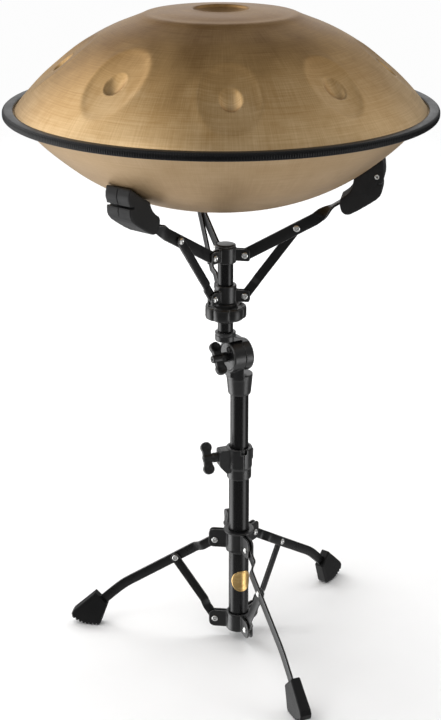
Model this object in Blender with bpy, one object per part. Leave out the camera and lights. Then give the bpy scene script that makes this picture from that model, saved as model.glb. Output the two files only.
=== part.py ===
"""Handpan on a folding three-leg stand with a three-arm basket.

Frame: metres, +Z up, origin on the floor under the centre of the handpan.
Sizes are measured from the axis of the lower tube, heights from a level FOOT_DROP
above the soles; the empty "stand_axis" carries the whole assembly to the frame.
Azimuths are degrees counter-clockwise from +X.  A point in a radial plane is given as
(radius, height), and "sideways" is square to that plane, positive counter-clockwise.
Every piece is its own object; a piece that swings or slides hangs from an empty on
its joint axis.
"""
import math
import bpy
import bmesh
from mathutils import Vector

for old_object in list(bpy.data.objects):
    bpy.data.objects.remove(old_object, do_unlink=True)

# ---------------------------------------------------------- driving sizes
UP = Vector((0, 0, 1))
COLUMN = Vector((0, 0, 0))      # foot of the tubes' common axis
GAP = 0.0003                    # running gap between neighbouring pieces

# handpan
PAN_CENTRE = Vector((-0.0255, -0.0072, 0.7784))   # centre of the rim plane
SHELL_R = 0.2650                # radius of the domed part of the shells
SHELL_T = 0.0012                # sheet thickness
FLANGE_R = 0.2745
FLANGE_H = 0.0016               # far face of each flange from the rim plane

# basket
POST = Vector((-0.0195, PAN_CENTRE.y, 0.0))       # foot of the basket post's axis
POST_R = 0.0105
POST_BOTTOM, POST_TOP = 0.4640, 0.5934
POST_BORE = POST_R + GAP        # bore of the pieces round the post
ARM_AZIMUTHS = tuple(-9.4 + 120 * k for k in range(3))
HUB_PIVOT = Vector((0.0264, 0.5826))
SLIDER_PIVOT = Vector((HUB_PIVOT.x, 0.5256))
ARM_JOINT = Vector((0.0949, 0.6220))              # arm-to-brace pivot
ARM_W, ARM_T = 0.0160, 0.0030

# tilter and tubes
TILT_AZIMUTH = 30.0             # direction of the tilt axis
TILT_CENTRE = Vector((0, 0, 0.4370))
UPPER_R = 0.0127
UPPER_BOTTOM, UPPER_TOP = 0.1750, 0.4035
LOWER_R = 0.0143
LOWER_BOTTOM, LOWER_TOP = 0.0100, 0.2850
LOWER_BORE = LOWER_R + GAP      # bore of the pieces round the lower tube

# legs
LEG_AZIMUTHS = tuple(52.6 + 120 * k for k in range(3))
COLLAR_PIVOT = Vector((0.03415, 0.1529))
BASE_PIVOT = Vector((COLLAR_PIVOT.x, 0.0247))
LEG_JOINT = Vector((0.09335, 0.1151))             # leg-to-brace pivot
LEG_W, LEG_T = 0.0140, 0.0030
LEG_OFFSET = -0.0090            # sideways set of the leg
FOOT_DROP = 0.0035              # sole below the zero of heights

# hardware
EAR_INNER = 0.00185             # clevis ear faces from the radial plane
EAR_OUTER = EAR_INNER + 0.0025
EAR_REACH = EAR_OUTER + GAP     # underside of a rivet head outside the ears
PIN_R, PIN_HEAD_R, PIN_HEAD_H = 0.0025, 0.0046, 0.0020
PIN_HOLE_R = PIN_R + GAP
SCREW_R = 0.0030                # clamp and collar screws
SCREW_HOLE_R = SCREW_R + GAP


# -------------------------------------------------------------- materials
def make_material(name, colour, roughness, metallic):
    material = bpy.data.materials.new(name)
    material.use_nodes = True
    inputs = material.node_tree.nodes["Principled BSDF"].inputs
    inputs["Base Color"].default_value = (*colour, 1.0)
    inputs["Roughness"].default_value = roughness
    inputs["Metallic"].default_value = metallic
    return material


BRONZE = make_material("bronze_sheet", colour=(0.42, 0.27, 0.14), roughness=0.38, metallic=1.0)
BRONZE_LOW = make_material("bronze_sheet_lower", colour=(0.36, 0.23, 0.12), roughness=0.40,
                           metallic=1.0)
TRIM = make_material("trim_rubber", colour=(0.02, 0.02, 0.02), roughness=0.6, metallic=0.0)
BLACK = make_material("black_powder_coat", colour=(0.018, 0.018, 0.019), roughness=0.38,
                      metallic=0.3)
GLOSS = make_material("black_gloss_tube", colour=(0.012, 0.012, 0.013), roughness=0.22,
                      metallic=0.3)
CAST = make_material("black_cast_alloy", colour=(0.02, 0.02, 0.021), roughness=0.42,
                     metallic=0.4)
PLASTIC = make_material("black_nylon", colour=(0.022, 0.022, 0.022), roughness=0.5,
                        metallic=0.0)
RUBBER = make_material("charcoal_rubber", colour=(0.045, 0.045, 0.047), roughness=0.8,
                       metallic=0.0)
NICKEL = make_material("nickel_rivet", colour=(0.62, 0.62, 0.60), roughness=0.3, metallic=1.0)
GOLD = make_material("gold_disc", colour=(0.75, 0.50, 0.18), roughness=0.35, metallic=1.0)


# ------------------------------------------------------ points and objects
def radial(azimuth):
    """Unit vectors outward and sideways at an azimuth."""
    angle = math.radians(azimuth)
    outward = Vector((math.cos(angle), math.sin(angle), 0.0))
    return outward, Vector((-outward.y, outward.x, 0.0))


def at(centre, azimuth, radius, height, sideways=0.0):
    outward, tangent = radial(azimuth)
    return centre + outward * radius + UP * height + tangent * sideways


def world_of(ob):
    """Position of an object, summed up through its parents."""
    position = Vector((0, 0, 0))
    while ob is not None:
        position += ob.location
        ob = ob.parent
    return position


def link(ob, position, parent):
    bpy.context.scene.collection.objects.link(ob)
    ob.parent = parent
    ob.location = position - world_of(parent)
    return ob


def empty(name, position, parent=None):
    return link(bpy.data.objects.new(name, None), position, parent)


def place(name, mesh, finish, origin, parent):
    """Make an object from a bmesh in assembly coordinates, its origin at origin."""
    bmesh.ops.remove_doubles(mesh, verts=mesh.verts, dist=1e-7)
    bmesh.ops.recalc_face_normals(mesh, faces=mesh.faces)
    bmesh.ops.translate(mesh, verts=mesh.verts, vec=-origin)
    data = bpy.data.meshes.new(name)
    mesh.to_mesh(data)
    mesh.free()
    if finish is not None:
        data.materials.append(finish)
    data.shade_smooth()
    data.set_sharp_from_angle(angle=math.radians(30.0))
    return link(bpy.data.objects.new(name, data), origin, parent)


def boolean(target, operation, tool):
    modifier = target.modifiers.new(operation.lower(), 'BOOLEAN')
    modifier.operation = operation
    modifier.solver = 'EXACT'
    modifier.object = tool


def combine(target, operation, tool_name, mesh):
    """Boolean the target with a hidden helper made from mesh; returns the helper."""
    tool = place(tool_name, mesh, None, Vector((0, 0, 0)), None)
    tool.hide_render = True
    tool.display_type = 'WIRE'
    boolean(target, operation, tool)
    return tool


# ----------------------------------------------------------- basic shapes
def add_lathe(mesh, profile, centre, axis=UP, segments=24, radius_at=None):
    """Revolve (radius, distance along axis) points about an axis through centre.

    A profile that starts and ends on the axis makes a solid; any other is taken
    as a closed ring section.  radius_at(radius, angle) shapes the outline.
    """
    axis = Vector(axis).normalized()
    reference = UP if abs(axis.z) < 0.9 else Vector((1, 0, 0))
    u = (reference - axis * reference.dot(axis)).normalized()
    v = axis.cross(u)
    rings = []
    for radius, distance in profile:
        middle = centre + axis * distance
        if radius < 1e-9:
            rings.append([mesh.verts.new(middle)])
            continue
        ring = []
        for i in range(segments):
            angle = 2 * math.pi * i / segments
            reach = radius_at(radius, angle) if radius_at else radius
            direction = u * math.cos(angle) + v * math.sin(angle)
            ring.append(mesh.verts.new(middle + direction * reach))
        rings.append(ring)
    closed = len(rings[0]) > 1
    for k in range(len(rings) if closed else len(rings) - 1):
        a, b = rings[k], rings[(k + 1) % len(rings)]
        for i in range(segments):
            j = (i + 1) % segments
            if len(a) == 1:
                mesh.faces.new((a[0], b[i], b[j]))
            elif len(b) == 1:
                mesh.faces.new((a[i], b[0], a[j]))
            else:
                mesh.faces.new((a[i], b[i], b[j], a[j]))
    return mesh


def lathe(name, profile, centre, finish, parent=None, axis=UP, segments=24, origin=None,
          radius_at=None):
    mesh = add_lathe(bmesh.new(), profile, centre, axis, segments, radius_at)
    return place(name, mesh, finish, centre if origin is None else origin, parent)


def tube(name, outer, inner, bottom, top, centre, finish, parent=None):
    profile = [(outer, bottom), (outer, top), (inner, top), (inner, bottom)]
    return lathe(name, profile, centre, finish, parent)


def rod(radius, start, end):
    """Lathe profile of a plain cylinder."""
    return [(0, start), (radius, start), (radius, end), (0, end)]


def add_prism(mesh, outline, origin, u, v, w, start, end):
    """Extrude a (u, v) outline from start to end along w."""
    low = [mesh.verts.new(origin + u * a + v * b + w * start) for a, b in outline]
    high = [mesh.verts.new(origin + u * a + v * b + w * end) for a, b in outline]
    mesh.faces.new(low)
    mesh.faces.new(list(reversed(high)))
    for i in range(len(outline)):
        j = (i + 1) % len(outline)
        mesh.faces.new((low[i], low[j], high[j], high[i]))
    return mesh


def add_radial_prism(mesh, outline, centre, azimuth, start, end):
    """Extrude a (radius, height) outline sideways from start to end."""
    outward, tangent = radial(azimuth)
    return add_prism(mesh, outline, centre, outward, UP, tangent, start, end)


def rectangle(x0, x1, y0, y1):
    return [(x0, y0), (x1, y0), (x1, y1), (x0, y1)]


def arc(x, y, radius, start, end, steps):
    angles = [math.radians(start + (end - start) * i / steps) for i in range(steps + 1)]
    return [(x + radius * math.cos(a), y + radius * math.sin(a)) for a in angles]


# -------------------------------------------------------------- flat bars
CAP_ANGLES = [12 + 78 * k / 4 for k in range(4)]    # stations of a rounded end


def bar_section(centre, azimuth, point, direction, half_width, thickness, twist=0.0):
    """Section of a bar as its centre, half-width and half-thickness vectors.

    point is (radius, height, sideways) and direction (radius, height).  At no
    twist the bar stands on edge in the radial plane; at 90 degrees it lies flat.
    """
    outward, tangent = radial(azimuth)
    across = outward * -direction.y + UP * direction.x
    cos, sin = math.cos(math.radians(twist)), math.sin(math.radians(twist))
    return (at(centre, azimuth, *point), (across * cos + tangent * sin) * half_width,
            (tangent * cos - across * sin) * thickness / 2)


def along(start, direction, distance, sideways=0.0):
    """The (radius, height, sideways) point at a distance from start."""
    point = start + direction * distance
    return point.x, point.y, sideways


def end_stations(point, direction, half_width, sign):
    """Rounded end of a bar at its start (sign -1) or finish (sign 1)."""
    stations = []
    for degrees in CAP_ANGLES:
        angle = math.radians(degrees)
        reach = sign * half_width * math.cos(angle)
        tip = along(Vector(point[:2]), direction, reach, point[2])
        stations.append((tip, direction, half_width * math.sin(angle)))
    return stations if sign < 0 else stations[::-1]


def add_bar(mesh, sections):
    """Skin a row of four-cornered sections and close both ends."""
    rings = [[mesh.verts.new(middle + width * a + depth * b)
              for a, b in ((-1, -1), (1, -1), (1, 1), (-1, 1))]
             for middle, width, depth in sections]
    for near, far in zip(rings, rings[1:]):
        for i in range(4):
            j = (i + 1) % 4
            mesh.faces.new((near[i], near[j], far[j], far[i]))
    mesh.faces.new(rings[0])
    mesh.faces.new(list(reversed(rings[-1])))
    return mesh


def strap(name, path, width, thickness, centre, azimuth, hinge):
    """Round-ended bar on edge along (radius, height, sideways) points."""
    flat = [Vector(point[:2]) for point in path]
    last = len(path) - 1
    directions = [(flat[min(last, i + 1)] - flat[max(0, i - 1)]).normalized()
                  for i in range(len(path))]
    half = width / 2
    stations = (end_stations(path[0], directions[0], half, -1)
                + [(point, direction, half) for point, direction in zip(path, directions)]
                + end_stations(path[-1], directions[-1], half, 1))
    sections = [bar_section(centre, azimuth, *station, thickness) for station in stations]
    return place(name, add_bar(bmesh.new(), sections), BLACK, world_of(hinge), hinge)


# --------------------------------------------------------------- hardware
def drill(target, tool_name, centre, azimuths, holes, reach):
    """Sideways holes, given as (pivot, radius), through the target."""
    mesh = bmesh.new()
    for azimuth in azimuths:
        for pivot, radius in holes:
            add_lathe(mesh, rod(radius, -reach, reach), at(centre, azimuth, *pivot),
                      radial(azimuth)[1], 12)
    combine(target, 'DIFFERENCE', tool_name, mesh)


def pin(name, centre, azimuth, pivot, parent, start=-EAR_REACH, end=EAR_REACH, end_head=True):
    """Sideways rivet with a domed head at its start and, if end_head, at its end."""
    shoulder = PIN_HEAD_H * 0.45
    crown_r = PIN_HEAD_R * 0.6
    profile = [(0, start - PIN_HEAD_H), (crown_r, start - PIN_HEAD_H),
               (PIN_HEAD_R, start - shoulder), (PIN_HEAD_R, start), (PIN_R, start), (PIN_R, end)]
    if end_head:
        profile += [(PIN_HEAD_R, end), (PIN_HEAD_R, end + shoulder),
                    (crown_r, end + PIN_HEAD_H), (0, end + PIN_HEAD_H)]
    else:
        profile.append((0, end))
    lathe(name, profile, at(centre, azimuth, *pivot), NICKEL, parent, radial(azimuth)[1], 10)


def add_clevis_ears(mesh, centre, azimuth, inner, outer, bottom, top, chamfer):
    """A pair of flat ears either side of the radial plane."""
    nick = chamfer * 0.3
    outline = [(inner, bottom), (outer - chamfer, bottom), (outer - nick, bottom + nick),
               (outer, bottom + chamfer), (outer, top - chamfer), (outer - nick, top - nick),
               (outer - chamfer, top), (inner, top)]
    for start, end in ((-EAR_OUTER, -EAR_INNER), (EAR_INNER, EAR_OUTER)):
        add_radial_prism(mesh, outline, centre, azimuth, start, end)


def eared_collar(name, profile, centre, azimuths, ears, pivot, parent, origin):
    collar = lathe(name, profile, centre, CAST, parent, origin=origin)
    mesh = bmesh.new()
    for azimuth in azimuths:
        add_clevis_ears(mesh, centre, azimuth, **ears)
    combine(collar, 'UNION', name + "_ear_tool", mesh)
    drill(collar, name + "_hole_tool", centre, azimuths, [(pivot, PIN_HOLE_R)], 0.008)
    return collar


WING_HUB_R = 0.0058
WING_LOBE_R = 0.0078            # rounded end of each wing
WING_ROOT = 0.0052              # half length of the plate at the screw's axis
WING_ROOT_H = 0.0020
WING_HALF_T = 0.0034


def wing_screw(name, origin, axis, wing_direction, parent, shank_radius, tip, seat,
               hub_length, wing_at, wing_reach):
    """Wing screw pointing along axis, with distances measured along it.

    tip is the far end of the shank, seat the face of the hub, wing_at the middle
    of the wings; wing_reach is the wings' half span.
    """
    profile = [(0, tip), (shank_radius, tip), (shank_radius, seat), (WING_HUB_R + 0.001, seat),
               (WING_HUB_R + 0.001, seat - hub_length * 0.35),
               (WING_HUB_R, seat - hub_length * 0.45),
               (WING_HUB_R * 0.8, seat - hub_length), (0, seat - hub_length)]
    screw = lathe(name, profile, origin, PLASTIC, parent, axis, 14)
    lobe_at = wing_reach - WING_LOBE_R
    outline = (arc(0, lobe_at, WING_LOBE_R, -50, 230, 9)
               + [(-WING_ROOT, WING_ROOT_H), (-WING_ROOT, -WING_ROOT_H)]
               + arc(0, -lobe_at, WING_LOBE_R, 130, 410, 9)
               + [(WING_ROOT, -WING_ROOT_H), (WING_ROOT, WING_ROOT_H)])
    mesh = add_prism(bmesh.new(), outline, origin + axis * wing_at, axis, wing_direction,
                     axis.cross(wing_direction).normalized(), -WING_HALF_T, WING_HALF_T)
    combine(screw, 'UNION', name + "_wing_tool", mesh)


# ---------------------------------------------------------------- handpan
PAN_SEGMENTS = 48
# outer skin: radius, distance from the rim plane
TOP_STATIONS = (
    (0.000, 0.1265), (0.050, 0.1255), (0.080, 0.1225), (0.100, 0.1180), (0.120, 0.1110),
    (0.140, 0.1030), (0.160, 0.0930), (0.185, 0.0775), (0.210, 0.0580), (0.235, 0.0360),
    (0.252, 0.0180), (0.260, 0.0085), (0.265, 0.0018))
BOTTOM_STATIONS = (
    (0.000, 0.1290), (0.052, 0.1235), (0.090, 0.1150), (0.125, 0.1045), (0.155, 0.0915),
    (0.185, 0.0740), (0.210, 0.0550), (0.235, 0.0330), (0.252, 0.0150), (0.260, 0.0070),
    (0.265, 0.0018))
PORT_R = 0.0520                 # sound port in the lower shell
NECK_R = PORT_R - 0.0050        # inside of its turned-in neck
NECK_DEPTH = 0.0220
SKIN_EDGE = SHELL_R - 0.0010
# radii at which each skin is sampled
TOP_RADII = (0.0, 0.055, 0.090, 0.112, 0.145, 0.185, 0.222, 0.248, SKIN_EDGE)
BOTTOM_RADII = (PORT_R, 0.095, 0.135, 0.170, 0.200, 0.228, 0.250, SKIN_EDGE)

TRIM_R = 0.2800
TRIM_HALF_H = 0.0050
TRIM_FIT = 0.0006               # trim's radial clearance from the sheet
TRIM_BEVEL, TRIM_INNER_BEVEL_H = 0.0016, 0.0012


def dome(radius, stations):
    """Smooth curve through the stations (cubic, with averaged slopes)."""
    k = 0
    while k < len(stations) - 2 and radius > stations[k + 1][0]:
        k += 1

    def slope(i):
        if i <= 0:
            return 0.0
        before, after = stations[i - 1], stations[min(i + 1, len(stations) - 1)]
        return (after[1] - before[1]) / (after[0] - before[0])

    (x0, y0), (x1, y1) = stations[k], stations[k + 1]
    run = x1 - x0
    t = (radius - x0) / run
    return ((2 * t ** 3 - 3 * t ** 2 + 1) * y0 + (t ** 3 - 2 * t ** 2 + t) * run * slope(k)
            + (3 * t ** 2 - 2 * t ** 3) * y1 + (t ** 3 - t ** 2) * run * slope(k + 1))


def shell_skins(stations, radii, side):
    """Outer skin with the flange, and inner skin, both from the centre outward."""
    outer = [(radius, side * dome(radius, stations)) for radius in radii]
    inner = []
    step = 0.0005
    for radius in radii:
        rise = dome(radius + step, stations) - dome(max(0, radius - step), stations)
        slope = rise / (step + min(radius, step))
        length = math.sqrt(1 + slope * slope)
        inset = slope / length * SHELL_T if radius > 0 else 0.0
        inner.append((radius + inset, side * (dome(radius, stations) - SHELL_T / length)))
    outer += [(SHELL_R - 0.0004, side * FLANGE_H), (FLANGE_R, side * FLANGE_H),
              (FLANGE_R, side * GAP / 2), (SHELL_R - 0.0035, side * GAP / 2)]
    return outer, inner


def top_shell(pan_axis):
    outer, inner = shell_skins(TOP_STATIONS, TOP_RADII, 1)
    lathe("top_shell", outer + inner[::-1], PAN_CENTRE, BRONZE, pan_axis,
          segments=PAN_SEGMENTS)


def bottom_shell(pan_axis):
    outer, inner = shell_skins(BOTTOM_STATIONS, BOTTOM_RADII, -1)
    port_z = outer[0][1]
    neck_top = port_z + NECK_DEPTH
    neck_inside = [(NECK_R, neck_top), (NECK_R, port_z + 0.0050),
                   (PORT_R - 0.0030, port_z + 0.0012)]
    neck_outside = [(NECK_R + SHELL_T, inner[0][1] + 0.0052), (NECK_R + SHELL_T, neck_top)]
    lathe("bottom_shell", neck_inside + outer + inner[::-1] + neck_outside, PAN_CENTRE,
          BRONZE_LOW, pan_axis, segments=PAN_SEGMENTS)


def rim_trim(pan_axis):
    """Rubber ring grooved for the two flanges."""
    inner = SHELL_R + TRIM_FIT
    groove = FLANGE_R + TRIM_FIT
    groove_h = FLANGE_H + GAP
    upper_half = [
        (groove, groove_h), (inner, groove_h), (inner, TRIM_HALF_H - TRIM_INNER_BEVEL_H),
        (inner + TRIM_BEVEL, TRIM_HALF_H), (TRIM_R - TRIM_BEVEL, TRIM_HALF_H),
        (TRIM_R, TRIM_HALF_H - TRIM_BEVEL)]
    lower_half = [(radius, -height) for radius, height in reversed(upper_half)]
    lathe("rim_trim", upper_half + lower_half, PAN_CENTRE, TRIM, pan_axis,
          segments=PAN_SEGMENTS)


pan_axis = empty("pan_axis", PAN_CENTRE)
top_shell(pan_axis)
bottom_shell(pan_axis)
rim_trim(pan_axis)

# ----------------------------------------- basket: post, hub, slider, knob
POST_WALL = 0.0015
BASKET_EAR_HALF_H = 0.0081
# lathe profiles: radius, height
POST_CAP_PROFILE = [
    (0, 0.5842), (0.0086, 0.5842), (0.0086, POST_TOP + GAP), (0.0135, POST_TOP + GAP),
    (0.0137, 0.5952), (0.0118, 0.5966), (0, 0.5970)]
HUB_PROFILE = [
    (POST_BORE, 0.5712), (0.0135, 0.5712), (0.0142, 0.5724), (0.0142, 0.5925),
    (0.0136, 0.5932), (POST_BORE, 0.5932)]
SLIDER_PROFILE = [
    (POST_BORE, 0.5154), (0.0146, 0.5154), (0.0150, 0.5162), (0.0150, 0.5395),
    (0.0142, 0.5403), (POST_BORE, 0.5403)]
KNOB_R = 0.0284
KNOB_PROFILE = [
    (POST_BORE, 0.4877), (0.0125, 0.4877), (0.0135, 0.4890), (0.0150, 0.4930),
    (0.0262, 0.4935), (KNOB_R, 0.4960), (KNOB_R, 0.5085), (0.0264, 0.5112),
    (0.0235, 0.5105), (0.0165, 0.5070), (0.0150, 0.5140), (0.0140, 0.5150),
    (POST_BORE, 0.5150)]
KNOB_LOBES, KNOB_LOBE_DEPTH = 7, 0.055
KNOB_ROUND_R = 0.016            # the knob stays round inside this radius


def basket_ears(inner, pivot):
    return dict(inner=inner, outer=0.0332, bottom=pivot.y - BASKET_EAR_HALF_H,
                top=pivot.y + BASKET_EAR_HALF_H, chamfer=0.0045)


def knob_radius(radius, angle):
    if radius < KNOB_ROUND_R:
        return radius
    return radius * (1 - KNOB_LOBE_DEPTH * (1 - math.cos(KNOB_LOBES * angle)))


tilt_axis = empty("tilt_axis", TILT_CENTRE)
tube("basket_post", POST_R, POST_R - POST_WALL, POST_BOTTOM, POST_TOP, POST, GLOSS, tilt_axis)
lathe("post_cap", POST_CAP_PROFILE, POST, PLASTIC, tilt_axis)
eared_collar("basket_hub", HUB_PROFILE, POST, ARM_AZIMUTHS, basket_ears(0.0122, HUB_PIVOT),
             HUB_PIVOT, tilt_axis, POST + UP * HUB_PIVOT.y)
slider_axis = empty("basket_slider_axis", POST + UP * SLIDER_PIVOT.y, tilt_axis)
eared_collar("basket_slider", SLIDER_PROFILE, POST, ARM_AZIMUTHS,
             basket_ears(0.0125, SLIDER_PIVOT), SLIDER_PIVOT, slider_axis,
             POST + UP * SLIDER_PIVOT.y)
lathe("basket_knob", KNOB_PROFILE, POST, PLASTIC, slider_axis, segments=28,
      origin=POST + UP * 0.5, radius_at=knob_radius)

# ------------------------------------------ basket: arms, grips and braces
# an arm stands on edge to its twist, turns a quarter, then lies flat into the grip
ARM_DIRECTION = (ARM_JOINT - HUB_PIVOT).normalized()
TWIST_START_R = 0.1180
TWIST_START = HUB_PIVOT + ARM_DIRECTION * ((TWIST_START_R - HUB_PIVOT.x) / ARM_DIRECTION.x)
TWIST_END = Vector((0.1440, 0.6560))
TWIST_STEPS = 6
ARM_END = Vector((0.1930, 0.6875))
ARM_TIP_DIRECTION = (ARM_END - TWIST_END).normalized()

GRIP_W = 0.0400
CONTACT_R = 0.1860              # radius from the post where the grips carry the shell
CONTACT_GAP = 0.0008
# grip under its sloping top face, from the post side outward: radius, height
GRIP_POINTS = [
    (0.1665, 0.6815), (0.1600, 0.6735), (0.1525, 0.6710), (0.1515, 0.6620), (0.1550, 0.6510),
    (0.1600, 0.6478), (0.1680, 0.6500), (0.1995, 0.6700), (0.2040, 0.6760), (0.2050, 0.6880),
    (0.1975, 0.6892), (0.1975, 0.6932), (0.2060, 0.6950)]
GRIP_TOP_INNER, GRIP_TOP_OUTER = 0.1685, 0.2035

BASKET_BRACE_W, BASKET_BRACE_T = 0.0127, 0.0026
BASKET_BRACE_OFFSET = ARM_T / 2 + 0.0004 + BASKET_BRACE_T / 2
BRACE_END_HOLE_R = PIN_R + 0.0011


def arm_sections(azimuth):
    half = ARM_W / 2
    stations = [(*station, 0) for station in
                end_stations((*HUB_PIVOT, 0.0), ARM_DIRECTION, half, -1)]
    stations += [((*HUB_PIVOT, 0.0), ARM_DIRECTION, half, 0),
                 ((*TWIST_START, 0.0), ARM_DIRECTION, half, 0)]
    twist_run = TWIST_END - TWIST_START
    for k in range(1, TWIST_STEPS + 1):
        share = k / TWIST_STEPS
        ease = share * share * (3 - 2 * share)
        stations.append((along(TWIST_START, twist_run, share), twist_run.normalized(), half,
                         90 * ease))
    stations += [(along(TWIST_END, ARM_TIP_DIRECTION, 0.004), ARM_TIP_DIRECTION, half, 90),
                 ((*ARM_END, 0.0), ARM_TIP_DIRECTION, half, 90)]
    return [bar_section(POST, azimuth, point, direction, half_width, ARM_T, twist)
            for point, direction, half_width, twist in stations]


def basket_arm(number, azimuth, hinge):
    mesh = add_bar(bmesh.new(), arm_sections(azimuth))
    arm = place("basket_arm_%d" % number, mesh, BLACK, world_of(hinge), hinge)
    drill(arm, "arm_hole_tool_%d" % number, POST, [azimuth],
          [(HUB_PIVOT, PIN_HOLE_R), (ARM_JOINT, PIN_HOLE_R)], 0.006)


def grip_outline(azimuth):
    """Side profile of a grip; its top lies along the shell's tangent at CONTACT_R."""
    pan_offset = (PAN_CENTRE - POST).dot(radial(azimuth)[0])

    def skin(radius):
        return PAN_CENTRE.z - dome(radius - pan_offset, BOTTOM_STATIONS)

    slope = (skin(CONTACT_R + 0.001) - skin(CONTACT_R - 0.001)) / 0.002
    drop = CONTACT_GAP * math.sqrt(1 + slope * slope)

    def top(radius):
        return skin(CONTACT_R) + slope * (radius - CONTACT_R) - drop

    outer_top = top(GRIP_TOP_OUTER)
    return ([(GRIP_TOP_INNER, top(GRIP_TOP_INNER))] + GRIP_POINTS
            + [(GRIP_TOP_OUTER + 0.003, outer_top - 0.006), (GRIP_TOP_OUTER, outer_top)])


def arm_grip(number, azimuth, hinge):
    """Rubber grip slotted for the flat end of the arm."""
    mesh = add_radial_prism(bmesh.new(), grip_outline(azimuth), POST, azimuth,
                            -GRIP_W / 2, GRIP_W / 2)
    grip = place("arm_grip_%d" % number, mesh, RUBBER, world_of(hinge), hinge)
    outward, tangent = radial(azimuth)
    lengthwise = outward * ARM_TIP_DIRECTION.x + UP * ARM_TIP_DIRECTION.y
    upward = outward * -ARM_TIP_DIRECTION.y + UP * ARM_TIP_DIRECTION.x
    half_h = ARM_T / 2 + GAP
    slot = rectangle(-0.010, (ARM_END - TWIST_END).length + GAP, -half_h, half_h)
    mesh = add_prism(bmesh.new(), slot, at(POST, azimuth, *TWIST_END), lengthwise, upward,
                     tangent, -ARM_W / 2 - GAP, ARM_W / 2 + GAP)
    combine(grip, 'DIFFERENCE', "grip_slot_tool_%d" % number, mesh)


def basket_brace(number, azimuth, hinge):
    """Brace from the slider to the arm, joggled to the arm's counter-clockwise side."""
    run = ARM_JOINT - SLIDER_PIVOT
    # distance from the slider pivot, sideways
    bends = ((0, 0), (0.021, 0), (0.030, BASKET_BRACE_OFFSET),
             (run.length, BASKET_BRACE_OFFSET))
    path = [along(SLIDER_PIVOT, run.normalized(), *bend) for bend in bends]
    brace = strap("basket_brace_%d" % number, path, BASKET_BRACE_W, BASKET_BRACE_T, POST,
                  azimuth, hinge)
    drill(brace, "basket_brace_hole_tool_%d" % number, POST, [azimuth],
          [(SLIDER_PIVOT, PIN_HOLE_R), (ARM_JOINT, BRACE_END_HOLE_R)], 0.008)


for number, azimuth in enumerate(ARM_AZIMUTHS, 1):
    arm_axis = empty("basket_arm_axis_%d" % number, at(POST, azimuth, *HUB_PIVOT), tilt_axis)
    basket_arm(number, azimuth, arm_axis)
    arm_grip(number, azimuth, arm_axis)
    brace_axis = empty("basket_brace_axis_%d" % number, at(POST, azimuth, *SLIDER_PIVOT),
                       slider_axis)
    basket_brace(number, azimuth, brace_axis)
    pin("hub_rivet_%d" % number, POST, azimuth, HUB_PIVOT, tilt_axis)
    pin("slider_rivet_%d" % number, POST, azimuth, SLIDER_PIVOT, slider_axis)
    pin("arm_rivet_%d" % number, POST, azimuth, ARM_JOINT, arm_axis,
        start=-ARM_T / 2 - GAP, end=BASKET_BRACE_OFFSET + BASKET_BRACE_T / 2 + GAP)

# ----------------------------------------------------------------- tilter
TILT_DIRECTION, TILT_TANGENT = radial(TILT_AZIMUTH)
DISC_R, DISC_CHAMFER = 0.0225, 0.0016
DISC_SPLIT = -0.0022            # plane between the discs, along the tilt axis
TILT_HOLE_R = 0.0044
# lathe profiles: radius, height
NECK_PROFILE = [
    (0, 0.3796), (0.0144, 0.3796), (0.0157, 0.3818), (0.0182, 0.4080), (0.0180, 0.4100),
    (0, 0.4100)]
POST_SOCKET_PROFILE = [
    (0, 0.4607), (0.0140, 0.4607), (0.0142, 0.4690), (0.0136, 0.4695), (0.0136, 0.4706),
    (0.0142, 0.4711), (0.0142, 0.4728), (0.0134, 0.4736), (0, 0.4736)]
# bridge from the upper disc to the post socket: distance along the tilt axis, height
BRIDGE_OUTLINE = [
    (DISC_SPLIT + 0.0004, 0.4450), (0.0090, 0.4450), (0.0096, 0.4530), (0.0076, 0.4590),
    (0.0030, 0.4622), (-0.0070, 0.4656), (-0.0130, 0.4676), (-0.0220, 0.4681),
    (-0.0220, 0.4609), (DISC_SPLIT + 0.0004, 0.4609)]
TILT_WING_TURN = math.radians(33)


def tilter_disc(name, start, end, parent):
    nick = DISC_CHAMFER * 0.3
    profile = [(0, start), (DISC_R - DISC_CHAMFER, start), (DISC_R, start + DISC_CHAMFER),
               (DISC_R, end - nick), (DISC_R - nick, end), (0, end)]
    return lathe(name, profile, TILT_CENTRE, CAST, parent, TILT_DIRECTION, 32)


def tilter_lower():
    """Lower half on the upper tube; returns the tool that bores the tilt axis."""
    lower = tilter_disc("tilter_lower", -0.0200, DISC_SPLIT - GAP / 2, None)
    web = add_prism(bmesh.new(), arc(0, 0, 0.0181, 100, 260, 12), COLUMN, TILT_DIRECTION,
                    TILT_TANGENT, UP, 0.4040, 0.4310)
    combine(lower, 'UNION', "tilter_web_tool", web)
    combine(lower, 'UNION', "tilter_neck_tool", add_lathe(bmesh.new(), NECK_PROFILE, COLUMN))
    socket = rod(UPPER_R + GAP, 0.3700, UPPER_TOP + GAP)
    combine(lower, 'DIFFERENCE', "tilter_socket_tool", add_lathe(bmesh.new(), socket, COLUMN))
    shank = add_lathe(bmesh.new(), rod(TILT_HOLE_R, -0.030, 0.0085), TILT_CENTRE,
                      TILT_DIRECTION, 16)
    return combine(lower, 'DIFFERENCE', "tilter_shank_tool", shank)


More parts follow.
